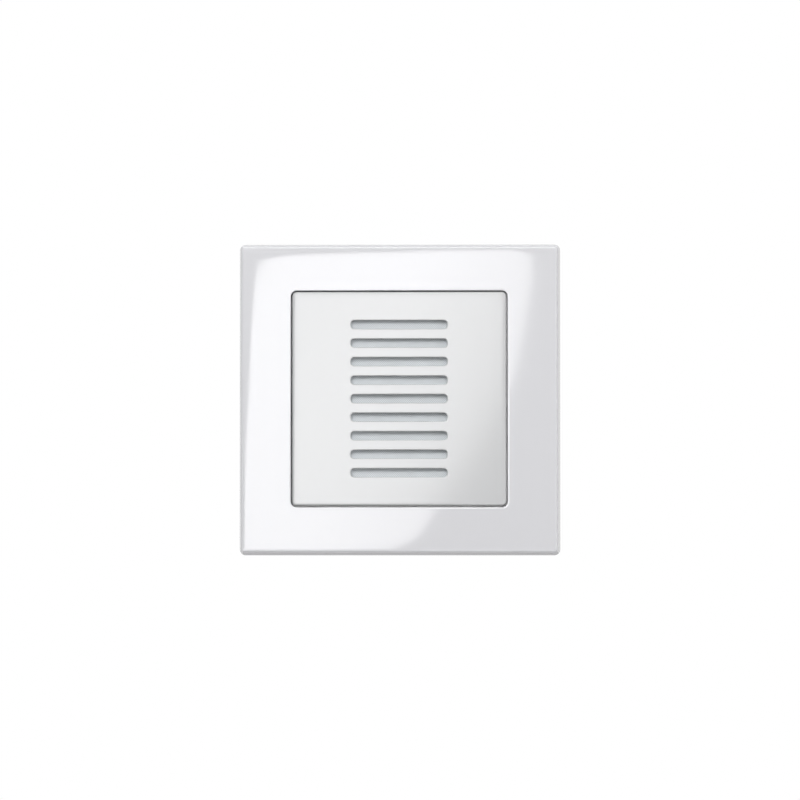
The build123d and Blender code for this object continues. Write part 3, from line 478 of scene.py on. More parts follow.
class Finish:
    """A material with one Principled shader, and short ways to feed it."""

    def __init__(self, name, metallic=0.0, coat=0.0, ior=1.5):
        self.material = bpy.data.materials.new(name)
        self.material.use_nodes = True
        self.tree = self.material.node_tree
        self.shader = self.tree.nodes["Principled BSDF"]
        self.shader.inputs["Metallic"].default_value = metallic
        self.shader.inputs["IOR"].default_value = ior
        self.shader.inputs["Coat Weight"].default_value = coat

    def effect(self, group, **values):
        """Places a node group, with its inputs set by name."""
        node = self.tree.nodes.new("ShaderNodeGroup")
        node.node_tree = group
        for label, value in values.items():
            node.inputs[label.replace("_", " ").title()].default_value = value
        return node.outputs

    def colour(self, fac, first, second):
        """Base colour between two colours."""
        mix = self.tree.nodes.new("ShaderNodeMix")
        mix.data_type = "RGBA"
        self.tree.links.new(fac, mix.inputs["Factor"])
        for socket, value in ((mix.inputs["A"], first), (mix.inputs["B"], second)):
            if isinstance(value, bpy.types.NodeSocket):
                self.tree.links.new(value, socket)
            else:
                socket.default_value = (*value, 1.0)
        self.tree.links.new(mix.outputs["Result"], self.shader.inputs["Base Color"])
        return mix.outputs["Result"]

    def ranged(self, fac, low, high, socket="Roughness"):
        """A shader value that runs from low to high with the mask."""
        node = self.tree.nodes.new("ShaderNodeMapRange")
        node.inputs["To Min"].default_value = low
        node.inputs["To Max"].default_value = high
        self.tree.links.new(fac, node.inputs["Value"])
        self.tree.links.new(node.outputs["Result"], self.shader.inputs[socket])

    def bump(self, height, distance, strength=1.0):
        """Relief of this height in metres."""
        node = self.tree.nodes.new("ShaderNodeBump")
        node.inputs["Distance"].default_value = distance
        node.inputs["Strength"].default_value = strength
        self.tree.links.new(height, node.inputs["Height"])
        self.tree.links.new(node.outputs["Normal"], self.shader.inputs["Normal"])


def scaled(colour, factor):
    """A colour made darker or lighter."""
    return tuple(min(1.0, c * factor) for c in colour)


def plastic(name, colour, roughness, grain=0.0004, relief=0.000002, spread=0.97, coat=0.0):
    """Moulded plastic, rubber, lacquer or epoxy."""
    finish = Finish(name, coat=coat)
    skin = finish.effect(moulded_skin(), grain_size=grain)
    finish.colour(skin["Tone"], scaled(colour, spread), colour)
    finish.ranged(skin["Tone"], roughness * 0.85, min(1.0, roughness * 1.15))
    finish.bump(skin["Height"], relief)
    return finish.material


def metal(name, colour, roughness, streak=0.0002, relief=0.000001, spread=0.86, worn=0.0):
    """Sheet, wire, turned or plated metal."""
    finish = Finish(name, metallic=1.0)
    grain = finish.effect(metal_grain(), streak_size=streak)
    base = finish.colour(grain["Tone"], scaled(colour, spread), colour)
    if worn:
        edges = finish.effect(rubbed_edges())
        finish.colour(edges["Mask"], base, scaled(colour, 1 + worn))
    finish.ranged(grain["Tone"], roughness * 0.75, min(1.0, roughness * 1.25))
    finish.bump(grain["Height"], relief)
    return finish.material


def dress(node, material):
    """Gives a CAD node that stays its material."""
    slots = frame["nodes"][node].data.materials
    slots.clear()
    slots.append(material)


def place(made, material, body, slot, *stands_for):
    """Gives a new piece its material and body, and hides the CAD nodes it stands for; the record
    slot is not used.
    """
    made.data.materials.append(material)
    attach(made, body)
    if stands_for:
        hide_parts(*stands_for)
    return made


class SirenOperator:
    """What every operator of this file shares."""
    bl_options = {"REGISTER", "UNDO"}

    @property
    def sizes(self):
        return bpy.context.scene.siren_sizes

    @property
    def finishes(self):
        return bpy.context.scene.siren_finishes


# Steps across a domed front, round a large edge and round a small one.
FRONT_STEPS = 30
EDGE_STEPS = 10
LIP_STEPS = 7


def crown_depth(ring, top, radius):
    """y of the domed front at (x, z) points, for a dome that reaches top in the middle."""
    distance = np.hypot(ring[:, 0], ring[:, 1])
    return -(top - (radius - np.sqrt(radius**2 - distance**2)))


# ---------------------------------------------------------------- cover frame
class SIREN_OT_cover_frame(SirenOperator, bpy.types.Operator):
    """Glossy cover frame: domed front, leaning sides, window collar with its ledge, and ribs"""
    bl_idname = "siren.cover_frame"
    bl_label = "Cover frame"

    def execute(self, context):
        s = self.sizes
        low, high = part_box("cover_frame")
        plate_low, plate_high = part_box("front_plate")
        width, height = high.x - low.x, high.z - low.z
        window = plate_high.x - plate_low.x + 2 * s.window_gap
        window_corner = s.plate_corner + s.window_gap
        middle = crown_depth(np.array([[window / 2, 0.0]]), 0.0, s.crown_radius)[0]
        top = -low.y + middle
        count = dict(across=56, up=56, corner=8)

        def outline(inset, corner=None):
            radius = max(s.frame_corner - inset if corner is None else corner, 0.05 * MM)
            return rounded_ring(width - 2 * inset, height - 2 * inset, radius, **count)

        def front(ring):
            near_x = np.clip(1 - (width / 2 - s.frame_lean - np.abs(ring[:, 0]))
                             / s.pillow_width, 0, 1)
            near_z = np.clip(1 - (height / 2 - s.frame_lean - np.abs(ring[:, 1]))
                             / s.pillow_width, 0, 1)
            fall = s.pillow_drop * (near_x**2 + near_z**2)
            return crown_depth(ring, top, s.crown_radius) + fall

        def square(size, corner):
            return rounded_ring(size, size, corner, **count)

        soft, hollow_corner = 0.15 * MM, 0.6 * MM
        front_edge = outline(s.frame_lean + s.frame_edge)
        front_y = front(front_edge)
        rows = [lifted(outline(soft), 0.0), lifted(outline(0), -soft)]
        for share in np.linspace(0, 1, 7)[1:]:
            rows.append(lifted(outline(s.frame_lean * share),
                               -soft + (front_y + s.frame_edge + soft) * share))
        for inward, outward in rounding(EDGE_STEPS):
            rows.append(lifted(outline(s.frame_lean + s.frame_edge * inward),
                               front_y + s.frame_edge * outward))
        window_edge = square(window + 2 * s.window_edge, window_corner + s.window_edge)
        for ring in blended(front_edge, window_edge, FRONT_STEPS) + [window_edge]:
            rows.append(lifted(ring, front(ring)))
        window_y = front(window_edge)
        for inward, outward in rounding(LIP_STEPS):
            rows.append(lifted(square(window + 2 * s.window_edge * outward,
                                      window_corner + s.window_edge * outward),
                               window_y + s.window_edge * inward))
        opening = window - 2 * s.ledge_width
        collar, collar_corner = window + 2 * s.collar_wall, window_corner + s.collar_wall
        roof_lean = s.frame_lean * s.roof_height / -low.y
        rows += [
            lifted(square(window, window_corner), -(s.ledge_high + soft)),
            lifted(square(window - 2 * soft, window_corner), -s.ledge_high),
            lifted(square(opening + 2 * soft, window_corner), -s.ledge_high),
            lifted(square(opening, window_corner), -(s.ledge_high - soft)),
            lifted(square(opening, window_corner), -(s.ledge_low + soft)),
            lifted(square(opening + 2 * soft, window_corner), -s.ledge_low),
            lifted(square(collar - 2 * soft, collar_corner), -s.ledge_low),
            lifted(square(collar, collar_corner), -(s.ledge_low + soft)),
            lifted(square(collar, collar_corner), -(s.roof_height - soft)),
            lifted(square(collar + 2 * soft, collar_corner), -s.roof_height),
            lifted(outline(s.frame_skin + roof_lean + soft, hollow_corner), -s.roof_height),
            lifted(outline(s.frame_skin + roof_lean, hollow_corner), -(s.roof_height - soft)),
            lifted(outline(s.frame_skin, hollow_corner), -soft),
            lifted(outline(s.frame_skin - soft, hollow_corner), 0.0),
        ]
        shell = Shell()
        shell.loft(rows, back_to_start=True)
        rib_half = s.rib_thickness / 2
        sunk, rib_short, rib_edge = 0.3 * MM, 0.6 * MM, 0.12 * MM
        rib_lean = s.frame_lean * 0.3
        rib_low, rib_high = -(s.roof_height + sunk), -(s.ledge_low + rib_short)
        for side in (-1, 1):
            for rib in (-1, 1):
                place_along = rib * s.rib_spacing / 2
                for reach, swap in ((width, False), (height, True)):
                    start = side * (collar / 2 - sunk)
                    end = side * (reach / 2 - s.frame_skin + sunk - rib_lean)
                    across = sorted((start, end))
                    along = (place_along - rib_half, place_along + rib_half)
                    x, z = (along, across) if swap else (across, along)
                    add_block(shell, (x[0], rib_low, z[0]), (x[1], rib_high, z[1]), rib_edge)
        made = shell.object("cover_frame_shell")
        f = self.finishes
        place(made, glossy("cover_gloss", f.cover, f.cover_roughness), "frame",
              "cover_plastic", "cover_frame")
        return {"FINISHED"}


def glossy(name, colour, roughness):
    """Glossy urea plastic: nearly white, with a faint waviness in its reflections."""
    finish = Finish(name)
    skin = finish.effect(moulded_skin(), grain_size=0.0025, flow_size=0.03)
    finish.colour(skin["Tone"], scaled(colour, 0.988), colour)
    finish.ranged(skin["Tone"], roughness * 0.9, roughness * 1.1)
    finish.bump(skin["Height"], 0.0000012)
    return finish.material


# ---------------------------------------------------------------- slotted front plate
class SIREN_OT_front_plate(SirenOperator, bpy.types.Operator):
    """Front plate with its rounded rim, sound slots, skirt and four notched legs"""
    bl_idname = "siren.front_plate"
    bl_label = "Front plate"

    def execute(self, context):
        s = self.sizes
        low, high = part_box("front_plate")
        size = high.x - low.x
        top, back = -low.y, -low.y - s.plate_skin
        cell_margin, skirt_corner, soft = 3.2 * MM, 0.5 * MM, 0.12 * MM
        cell_width = s.slot_length + cell_margin
        cell_up, across, corner = 2, 40, 8
        rear_steps, face_steps, cell_steps, cell_rear_steps, side_rows = 10, 22, 7, 4, 4
        block_height = s.slot_pitch * s.slot_count
        count = dict(across=across, up=cell_up * s.slot_count, corner=corner)

        def square(width, radius):
            return rounded_ring(width, width, radius, **count)

        def front(ring):
            return crown_depth(ring, top, s.crown_radius)

        block = rounded_ring(cell_width, block_height, 0.0, **count)
        rim = square(size - 2 * s.plate_edge, s.plate_corner - s.plate_edge)
        rim_y = front(rim)
        skirt_inside = size - 2 * s.skirt_wall
        rows = [lifted(ring, -back) for ring in
                blended(block, square(skirt_inside - 2 * soft, skirt_corner), rear_steps)]
        rows = [lifted(block, -back)] + rows + [
            lifted(square(skirt_inside - 2 * soft, skirt_corner), -back),
            lifted(square(skirt_inside, skirt_corner), -(back - soft)),
            lifted(square(skirt_inside, skirt_corner), -(s.skirt_end + soft)),
            lifted(square(skirt_inside + 2 * soft, skirt_corner), -s.skirt_end),
            lifted(square(size - 2 * soft, s.plate_corner), -s.skirt_end),
            lifted(square(size, s.plate_corner), -(s.skirt_end + soft)),
        ]
        start = -(s.skirt_end + soft)
        for share in np.linspace(0, 1, side_rows)[1:]:
            rows.append(lifted(square(size, s.plate_corner),
                               start + (rim_y + s.plate_edge - start) * share))
        for inward, outward in rounding(EDGE_STEPS):
            inset = s.plate_edge * inward
            rows.append(lifted(square(size - 2 * inset, s.plate_corner - inset),
                               rim_y + s.plate_edge * outward))
        for ring in blended(rim, block, face_steps) + [block]:
            rows.append(lifted(ring, front(ring)))
        shell = Shell()
        shell.loft(rows)

        for slot in range(s.slot_count):
            z = (slot - (s.slot_count - 1) / 2) * s.slot_pitch
            counts = dict(across=across, up=cell_up, corner=corner, centre=(0.0, z))

            def hole(grow):
                return rounded_ring(s.slot_length + 2 * grow, s.slot_height + 2 * grow,
                                    s.slot_corner + grow, **counts)

            cell = rounded_ring(cell_width, s.slot_pitch, 0.0, **counts)
            lip = hole(s.slot_edge)
            rows = [lifted(ring, front(ring))
                    for ring in [cell] + blended(cell, lip, cell_steps) + [lip]]
            lip_y = front(lip)
            for inward, outward in rounding(LIP_STEPS):
                rows.append(lifted(hole(s.slot_edge * outward), lip_y + s.slot_edge * inward))
            rows += [lifted(hole(0), lip_y + (-(back + soft) - lip_y) * 0.5),
                     lifted(hole(0), -(back + soft)), lifted(hole(soft), -back)]
            rows += [lifted(ring, -back)
                     for ring in blended(hole(soft), cell, cell_rear_steps) + [cell]]
            shell.loft(rows)

        leg_end = -high.y
        for side_x in (-1, 1):
            for side_z in (-1, 1):
                self.leg(shell, side_x * s.leg_offset, side_z, leg_end, back)
        made = shell.object("front_plate_shell")
        f = self.finishes
        place(made, glossy("plate_gloss", f.plate, f.plate_roughness), "plate",
              "cover_plastic", "front_plate")
        return {"FINISHED"}

    def leg(self, shell, x, side, leg_end, back):
        """A leg with a round notch on its outer face for the leaf spring."""
        s = self.sizes
        spring_low, spring_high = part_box("cover_springs")
        notch_middle = -(spring_low.y + spring_high.y) / 2
        notch_half = 1.5 * MM
        inner, outer = s.leg_middle - s.leg_thickness / 2, s.leg_middle + s.leg_thickness / 2
        edge, sunk = 0.15 * MM, 0.3 * MM
        profile = [(inner, back + sunk), (inner, leg_end + 4 * edge),
                   (inner + 3 * edge, leg_end), (outer - 3 * edge, leg_end),
                   (outer, leg_end + 4 * edge)]
        for turn in np.linspace(0, math.pi, 9):
            profile.append((outer - s.leg_notch * math.sin(turn),
                            notch_middle - notch_half * math.cos(turn)))
        profile.append((outer, back + sunk))
        rows = []
        for offset, inset in ((-0.5, edge), (-0.5, 0), (0.5, 0), (0.5, edge)):
            at = x + offset * s.leg_width
            at += -math.copysign(edge, offset) if not inset else 0
            rows.append([(at, -h, side * (z - inset * math.copysign(1, z - s.leg_middle)))
                         for z, h in profile])
        made = shell.loft([np.array(row) for row in rows])
        shell.cap(made[0])
        shell.cap(made[-1])


# ---------------------------------------------------------------- dust gauze
class SIREN_OT_dust_gauze(SirenOperator, bpy.types.Operator):
    """Woven gauze stretched over the back of the slots"""
    bl_idname = "siren.dust_gauze"
    bl_label = "Dust gauze"

    def execute(self, context):
        low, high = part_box("dust_gauze")
        columns, lines = 54, 86
        x = np.linspace(low.x, high.x, columns + 1)
        z = np.linspace(low.z, high.z, lines + 1)
        depth = low.y + 0.1 * MM
        wave, turns_x, turns_z = 0.02 * MM, 900, 700
        shell = Shell()
        rows = [np.c_[x, depth + wave * np.sin(x * turns_x) * math.sin(level * turns_z),
                      np.full(columns + 1, level)] for level in z]
        shell.loft(rows, closed=False)
        made = shell.object("dust_gauze_cloth", 180)
        place(made, self.weave(), "plate", "gauze_cloth", "dust_gauze")
        return {"FINISHED"}

    def weave(self):
        """Plain weave of fine threads: two waves at right angles, one over the other."""
        finish = Finish("gauze_weave")
        tree = finish.tree
        where = split_axes(tree, object_coordinates(tree))
        thread_pitch = 0.28 * MM
        across, up = (math_node(tree, "SINE", math_node(tree, "MULTIPLY", where[axis],
                                                        math.pi / thread_pitch))
                      for axis in "XZ")
        crossing = math_node(tree, "MULTIPLY", across, up)
        height = math_node(tree, "MULTIPLY_ADD", crossing, 0.5, 0.5)
        skin = finish.effect(moulded_skin(), grain_size=0.0002, flow_size=0.004)
        tone = math_node(tree, "MULTIPLY", height, math_node(tree, "ADD", skin["Tone"], 0.6))
        colour = self.finishes.gauze
        finish.colour(tone, scaled(colour, 0.80), scaled(colour, 1.12))
        finish.ranged(skin["Tone"], 0.75, 0.9)
        finish.bump(height, 0.00004, 0.7)
        return finish.material


# ---------------------------------------------------------------- metal and plastic of the insert
class SIREN_OT_support_ring(SirenOperator, bpy.types.Operator):
    """Galvanised support ring and the spring steel leaves in the plate's wells"""
    bl_idname = "siren.support_ring"
    bl_label = "Support ring and springs"

    def execute(self, context):
        finish = Finish("galvanised_sheet", metallic=1.0)
        tree = finish.tree
        spangle = tree.nodes.new("ShaderNodeTexVoronoi")
        spangle.inputs["Scale"].default_value = 520.0
        spangle.inputs["Randomness"].default_value = 0.9
        tree.links.new(object_coordinates(tree), spangle.inputs["Vector"])
        flake = tree.nodes.new("ShaderNodeSeparateColor")
        tree.links.new(spangle.outputs["Color"], flake.inputs["Color"])
        grain = finish.effect(metal_grain(), streak_size=0.0004)
        tone = math_node(tree, "ADD", math_node(tree, "MULTIPLY", flake.outputs["Red"], 0.3),
                         math_node(tree, "MULTIPLY", grain["Tone"], 0.7))
        colour = self.finishes.galvanised
        finish.colour(tone, scaled(colour, 0.9), scaled(colour, 1.08))
        finish.ranged(flake.outputs["Green"], 0.34, 0.42)
        finish.bump(grain["Height"], 0.000004)
        dress("support_ring", finish.material)
        dress("cover_springs", metal("spring_leaf", (0.46, 0.47, 0.50), 0.22, worn=0.2))
        return {"FINISHED"}


class SIREN_OT_sounder(SirenOperator, bpy.types.Operator):
    """Sounder case with the disc, its ceramic, gasket, clamp ring, leads and solder"""
    bl_idname = "siren.sounder"
    bl_label = "Sounder"

    def execute(self, context):
        f = self.finishes
        dress("sounder_case", plastic("case_satin", f.case, 0.42, 0.0003, 0.000004))
        dress("disc_clamp_ring", plastic("clamp_satin", scaled(f.case, 0.8), 0.45))
        dress("disc_gasket", plastic("gasket_black", (0.018, 0.018, 0.019), 0.75, 0.0002))
        dress("sounder_disc", metal("disc_rolled_brass", (0.78, 0.58, 0.26), 0.3, worn=0.15))
        dress("piezo_ceramic", plastic("ceramic_silvered", (0.72, 0.71, 0.66), 0.5, 0.0001))
        dress("sounder_lead_red", plastic("lead_red", (0.48, 0.02, 0.015), 0.35, 0.0006))
        dress("sounder_lead_black", plastic("lead_black", (0.015, 0.015, 0.016), 0.35, 0.0006))
        dress("lead_solder", metal("solder_tin", (0.72, 0.73, 0.74), 0.25, 0.0005))
        return {"FINISHED"}


class SIREN_OT_housing(SirenOperator, bpy.types.Operator):
    """Insert housing, its lid and the terminal block, in textured plastic"""
    bl_idname = "siren.housing"
    bl_label = "Housing"

    def execute(self, context):
        f = self.finishes
        dress("housing", plastic("housing_texture", f.housing, 0.55, 0.0005, 0.00002, 0.85))
        dress("housing_lid", plastic("lid_texture", f.housing, 0.6, 0.0005, 0.00001, 0.85))
        dress("terminal_block", plastic("terminal_satin", f.terminal, 0.4, 0.0004, 0.000005))
        return {"FINISHED"}


class SIREN_OT_claws(SirenOperator, bpy.types.Operator):
    """Spreading claws and their square nuts, in zinc-plated steel"""
    bl_idname = "siren.claws"
    bl_label = "Spreading claws"

    def execute(self, context):
        zinc = self.finishes.zinc
        claw = metal("claw_plating", scaled(zinc, 0.93), 0.34, 0.0003, 0.000003, 0.8, 0.15)
        nut = metal("nut_plating", zinc, 0.3, 0.0002, 0.000002, 0.85, 0.15)
        for side in ("left", "right"):
            dress(f"claw_{side}", claw)
            dress(f"claw_nut_{side}", nut)
        return {"FINISHED"}


# ---------------------------------------------------------------- screws
class SIREN_OT_screws(SirenOperator, bpy.types.Operator):
    """All screws, with threads and driver recesses"""
    bl_idname = "siren.screws"
    bl_label = "Screws"

    def execute(self, context):
        plating = metal("screw_plating", self.finishes.zinc, 0.24, 0.0002, 0.000001, 0.85, 0.1)
        self.group("case_screws", plating, head=2.2, height=1.5, crest=1.1, pitch=0.9,
                   recess=1.1)
        self.group("board_screws", plating, head=1.9, height=1.3, crest=1.0, pitch=0.8,
                   recess=1.0)
        for side in ("left", "right"):
            self.single(f"claw_screw_{side}", plating, True, 1.9, 0.7, (1.75, 0.33, 0.6),
                        partial(cross_depth, radius=1.6 * MM, depth=1.2 * MM, lean=0.14 * MM))
        for pole in (1, 2, 3):
            self.single(f"terminal_screw_{pole}", plating, False, 1.75, 0.4, (1.5, 0.27, 0.5),
                        partial(slot_depth, half_width=0.35 * MM, depth=0.95 * MM,
                                lean=0.08 * MM))
        return {"FINISHED"}

    def single(self, node, material, front_head, height, edge, thread, recess):
        """The screw of one node, with sizes in mm: thread is (crest, depth, pitch)."""
        low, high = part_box(node)
        head, tip = (low.y, high.y) if front_head else (high.y, low.y)
        seat = head + math.copysign(height * MM, tip - head)
        crest, depth, pitch = (size * MM for size in thread)
        shell = Shell()
        add_screw(shell, middle_of(low, high), seat, head, (high.x - low.x) / 2, edge * MM,
                  (crest, depth, pitch, seat, tip), recess)
        place(shell.object(f"{node}_threaded"), material, node, "screw_zinc", node)

    def group(self, node, material, head, height, crest, pitch, recess):
        """Like screws of one node in mm, each where the node's own solids stand."""
        edge, depth_share, recess_depth, lean = 0.5 * MM, 0.22, 0.85 * MM, 0.1 * MM
        shell = Shell()
        low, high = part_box(node)
        for centre in solid_centres(node):
            seat = low.y + height * MM
            add_screw(shell, centre, seat, low.y, head * MM, edge,
                      (crest * MM, depth_share * crest * MM, pitch * MM, seat, high.y),
                      partial(cross_depth, radius=recess * MM, depth=recess_depth, lean=lean))
        place(shell.object(f"{node}_threaded"), material, "insert", "screw_zinc", node)


def solid_centres(node):
    """Middles, as (x, z), of the separate solids of a CAD node."""
    work = bmesh.new()
    work.from_mesh(frame["nodes"][node].data)
    bmesh.ops.remove_doubles(work, verts=work.verts, dist=1e-6)
    left = set(work.verts)
    centres = []
    while left:
        pile, found = [left.pop()], []
        while pile:
            vertex = pile.pop()
            found.append(vertex.co.copy())
            for edge in vertex.link_edges:
                other = edge.other_vert(vertex)
                if other in left:
                    left.remove(other)
                    pile.append(other)
        points = np.array(found)
        lowest, highest = points.min(0), points.max(0)
        centres.append(((lowest[0] + highest[0]) / 2, (lowest[2] + highest[2]) / 2))
    work.free()
    return sorted(centres)


# ---------------------------------------------------------------- circuit board and terminals
class SIREN_OT_circuit_board(SirenOperator, bpy.types.Operator):
    """Circuit board and the pieces soldered to it"""
    bl_idname = "siren.circuit_board"
    bl_label = "Circuit board"

    def execute(self, context):
        finish = Finish("board_resist", coat=0.3)
        tree = finish.tree
        tracks = tree.nodes.new("ShaderNodeTexVoronoi")
        tracks.distance = "MANHATTAN"
        tracks.inputs["Scale"].default_value = 380.0
        tree.links.new(object_coordinates(tree), tracks.inputs["Vector"])
        lines = math_node(tree, "FRACT", math_node(tree, "MULTIPLY", tracks.outputs["Distance"],
                                                   3.0))
        copper = math_node(tree, "GREATER_THAN", lines, 0.55)
        skin = finish.effect(moulded_skin(), grain_size=0.0003)
        finish.colour(copper, (0.010, 0.085, 0.035), (0.020, 0.155, 0.060))
        finish.ranged(skin["Tone"], 0.28, 0.4)
        finish.bump(copper, 0.00002, 0.6)
        dress("circuit_board", finish.material)
        epoxy = plastic("chip_epoxy", (0.022, 0.022, 0.024), 0.55, 0.0002, 0.000004)
        for node in ("driver_chip", "drive_transistor", "bridge_rectifier"):
            dress(node, epoxy)
        dress("chip_resistors", plastic("resistor_glaze", (0.02, 0.02, 0.025), 0.25))
        dress("chip_capacitors", plastic("capacitor_ceramic", (0.42, 0.30, 0.17), 0.4))
        dress("storage_capacitor", plastic("capacitor_sleeve", (0.012, 0.016, 0.05), 0.3))
        dress("coil_core", plastic("ferrite", (0.045, 0.045, 0.05), 0.6, 0.0001, 0.00001))
        dress("surge_varistor", plastic("varistor_coat", (0.03, 0.12, 0.36), 0.4, 0.0008,
                                        0.00002))
        dress("volume_trimmer", plastic("trimmer_blue", (0.03, 0.10, 0.36), 0.35))
        dress("volume_spindle", plastic("spindle_nylon", (0.78, 0.76, 0.68), 0.38))
        self.winding()
        return {"FINISHED"}

    def winding(self):
        """Enamelled copper wire, turn beside turn."""
        low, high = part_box("coil_winding")
        centre, outer = middle_of(low, high), (high.x - low.x) / 2
        core_low, core_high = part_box("coil_core")
        inner = (core_high.x - core_low.x) / 4
        wire, sink = 0.32 * MM, 0.45
        shell = Shell()
        rows = threaded_rows(outer, sink * wire, wire, low.y, high.y, centre, wire,
                             steps=TURN_STEPS, per_turn=6, roundness=0.0)
        inside = turned_rows([(inner, high.y), (inner, low.y)], centre)
        shell.loft(rows + inside, back_to_start=True)
        place(shell.object("coil_winding_turns", 60),
              metal("enamelled_copper", (0.62, 0.26, 0.12), 0.28, 0.0005), "insert",
              "winding_copper", "coil_winding")


class SIREN_OT_terminals(SirenOperator, bpy.types.Operator):
    """Terminal cages and contact bars"""
    bl_idname = "siren.terminals"
    bl_label = "Terminal metal"

    def execute(self, context):
        cage = metal("cage_plating", (0.66, 0.62, 0.50), 0.3, 0.0003, 0.000002, 0.85, 0.15)
        for pole in (1, 2, 3):
            dress(f"terminal_cage_{pole}", cage)
        dress("contact_bars", metal("bar_tin", (0.70, 0.68, 0.62), 0.25))
        return {"FINISHED"}


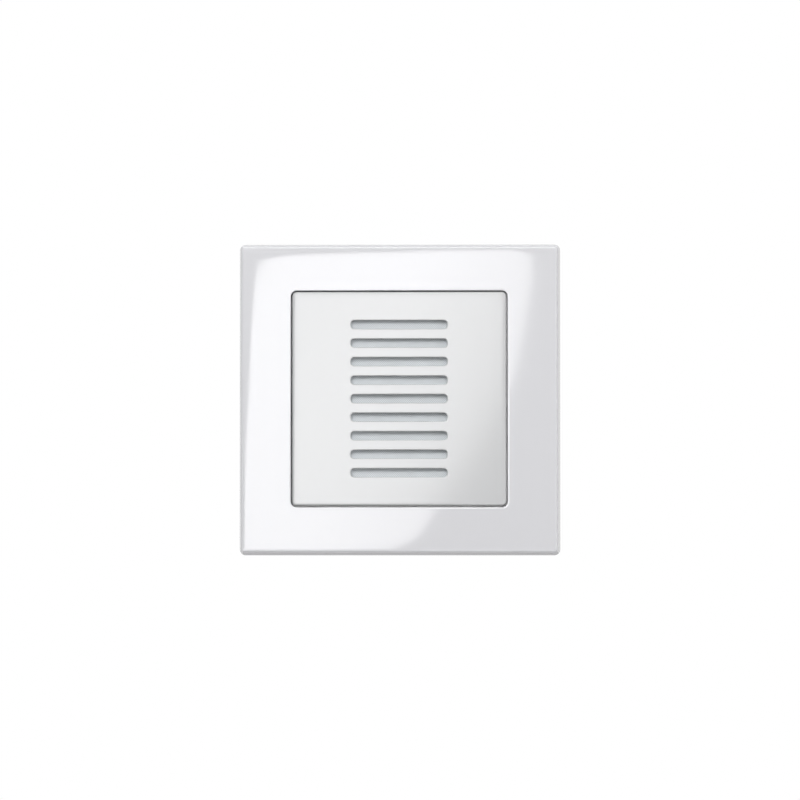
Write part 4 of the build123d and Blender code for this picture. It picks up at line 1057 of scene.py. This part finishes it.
# ---------------------------------------------------------------- stage
class SIREN_OT_stage(SirenOperator, bpy.types.Operator):
    """Pale floor, soft light and the camera"""
    bl_idname = "siren.stage"
    bl_label = "Stage"

    def execute(self, context):
        v = bpy.context.scene.siren_stage
        self.world(v)
        self.floor(v)
        self.card("key_card", 0.0, 0.0, v.key_distance, KEY_OUTLINE, v.key_strength, KEY_FALL)
        cards = {name: self.card(f"{name}_card", azimuth, elevation, distance,
                                 rounded_ring(width, height, CARD_CORNER, 1, 1, 6),
                                 getattr(v, f"{name}_strength"))
                 for name, azimuth, elevation, distance, width, height in CARDS}
        cards["rim"].visible_diffuse = False
        self.camera(v)
        bpy.context.scene.view_settings.view_transform = "Standard"
        return {"FINISHED"}

    def world(self, v):
        """White to the camera; as a light, bright behind the siren and dimmer before it."""
        world = bpy.data.worlds.new("studio")
        world.use_nodes = True
        bpy.context.scene.world = world
        tree = world.node_tree
        background = tree.nodes["Background"]
        direction = split_axes(tree, tree.nodes.new("ShaderNodeTexCoord").outputs["Generated"])

        def ramp(value, bottom, top, low, high):
            node = tree.nodes.new("ShaderNodeMapRange")
            node.interpolation_type = "SMOOTHSTEP"
            for label, number in zip(("From Min", "From Max", "To Min"), (bottom, top, low)):
                node.inputs[label].default_value = number
            tree.links.new(value, node.inputs["Value"])
            if isinstance(high, bpy.types.NodeSocket):
                tree.links.new(high, node.inputs["To Max"])
            else:
                node.inputs["To Max"].default_value = high
            return node

        height = ramp(direction["Z"], -0.5, 0.3, v.front_light * v.low_light, v.front_light)
        shade = ramp(direction["Y"], -0.6, 0.5, 0.0, v.back_light)
        tree.links.new(height.outputs["Result"], shade.inputs["To Min"])
        seen = tree.nodes.new("ShaderNodeLightPath").outputs["Is Camera Ray"]
        strength = math_node(tree, "MAXIMUM", shade.outputs["Result"], seen)
        background.inputs["Color"].default_value = (1.0, 1.0, 1.0, 1.0)
        tree.links.new(strength, background.inputs["Strength"])

    def floor(self, v):
        """A round pale floor."""
        shell = Shell()
        steps, rings, hub = 96, 12, 0.02
        angle = turn_angles(steps)
        rows = [np.c_[radius * np.cos(angle), radius * np.sin(angle),
                      np.full(steps, -v.floor_drop)]
                for radius in np.linspace(v.floor_radius, hub, rings)]
        made = shell.loft(rows)
        shell.cap(made[-1])
        floor = shell.object("studio_floor")
        floor.data.materials.append(plastic("floor_paper", (0.86, 0.86, 0.87), 0.8, 0.002))
        floor.visible_diffuse = False

    def card(self, name, azimuth, elevation, distance, outline, strength, fall=None):
        """A light card that faces the siren and that the camera doesn't see."""
        turn, rise = math.radians(azimuth), math.radians(elevation)
        away = np.array((math.sin(turn) * math.cos(rise), -math.cos(turn) * math.cos(rise),
                         math.sin(rise)))
        right = np.array((math.cos(turn), math.sin(turn), 0.0))
        up = np.cross(right, -away)
        edge = np.array(outline)
        middle = edge.mean(0)
        shell = Shell()
        rows = [middle + (edge - middle) * share for share in (1.0, 0.75, 0.5, 0.25)]
        made = shell.loft([away * distance + row[:, :1] * right + row[:, 1:] * up
                           for row in rows])
        shell.cap(made[-1])
        card = shell.object(name)
        material = bpy.data.materials.new(f"{name}_light")
        material.use_nodes = True
        tree = material.node_tree
        tree.nodes.remove(tree.nodes["Principled BSDF"])
        glow = tree.nodes.new("ShaderNodeEmission")
        glow.inputs["Strength"].default_value = strength
        if fall:
            where = split_axes(tree, object_coordinates(tree))
            level, per_right, per_up = fall
            across = math_node(tree, "MULTIPLY_ADD", where["X"], per_right, level)
            share = math_node(tree, "MULTIPLY_ADD", where["Z"], per_up, across, clamp=True)
            tree.links.new(math_node(tree, "MULTIPLY", share, strength), glow.inputs["Strength"])
        tree.links.new(glow.outputs[0], tree.nodes["Material Output"].inputs["Surface"])
        card.data.materials.append(material)
        card.visible_camera = False
        return card

    def camera(self, v):
        """Long lens, nearly square on to the front plate."""
        low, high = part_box("front_plate")
        target = Vector((v.aim_right, low.y, v.aim_up))
        back = Vector((math.sin(v.azimuth) * math.cos(v.elevation),
                       -math.cos(v.azimuth) * math.cos(v.elevation), math.sin(v.elevation)))
        data = bpy.data.cameras.new("camera")
        data.lens = v.lens
        data.clip_start, data.clip_end = 0.01, 50.0
        camera = bpy.data.objects.new("camera", data)
        bpy.context.scene.collection.objects.link(camera)
        camera.location = target + back * (v.view_width * v.lens / data.sensor_width)
        camera.rotation_mode = "QUATERNION"
        camera.rotation_quaternion = (-back).to_track_quat("-Z", "Y")
        bpy.context.scene.camera = camera


# ---------------------------------------------------------------- panel and registration
OPERATORS = (SIREN_OT_cover_frame, SIREN_OT_front_plate, SIREN_OT_dust_gauze,
             SIREN_OT_support_ring, SIREN_OT_sounder, SIREN_OT_housing, SIREN_OT_claws,
             SIREN_OT_screws, SIREN_OT_circuit_board, SIREN_OT_terminals, SIREN_OT_stage)
GROUPS = {"siren_sizes": CoverSizes, "siren_finishes": Finishes, "siren_stage": StageValues}


class SIREN_PT_pieces(bpy.types.Panel):
    """Lists the siren's pieces, sizes and colours"""
    bl_idname = "SIREN_PT_pieces"
    bl_label = "Alarm siren"
    bl_space_type = "VIEW_3D"
    bl_region_type = "UI"
    bl_category = "Siren"

    def draw(self, context):
        for operator in OPERATORS:
            self.layout.operator(operator.bl_idname)
        for name, group in GROUPS.items():
            box = self.layout.box()
            box.label(text=group.bl_rna.name)
            for label in group.__annotations__:
                box.prop(getattr(context.scene, name), label)


def register():
    """Makes the sizes, the operators and the panel known to Blender."""
    for group in GROUPS.values():
        bpy.utils.register_class(group)
    for cls in (*OPERATORS, SIREN_PT_pieces):
        bpy.utils.register_class(cls)
    for name, group in GROUPS.items():
        setattr(bpy.types.Scene, name, bpy.props.PointerProperty(type=group))


def unregister():
    """Takes them away again."""
    for name in GROUPS:
        delattr(bpy.types.Scene, name)
    for cls in (SIREN_PT_pieces, *reversed(OPERATORS), *GROUPS.values()):
        bpy.utils.unregister_class(cls)


def main():
    """Builds every piece and the stage."""
    register()
    for operator in OPERATORS:
        group, name = operator.bl_idname.split(".")
        getattr(getattr(bpy.ops, group), name)()


if __name__ == "__main__":
    main()
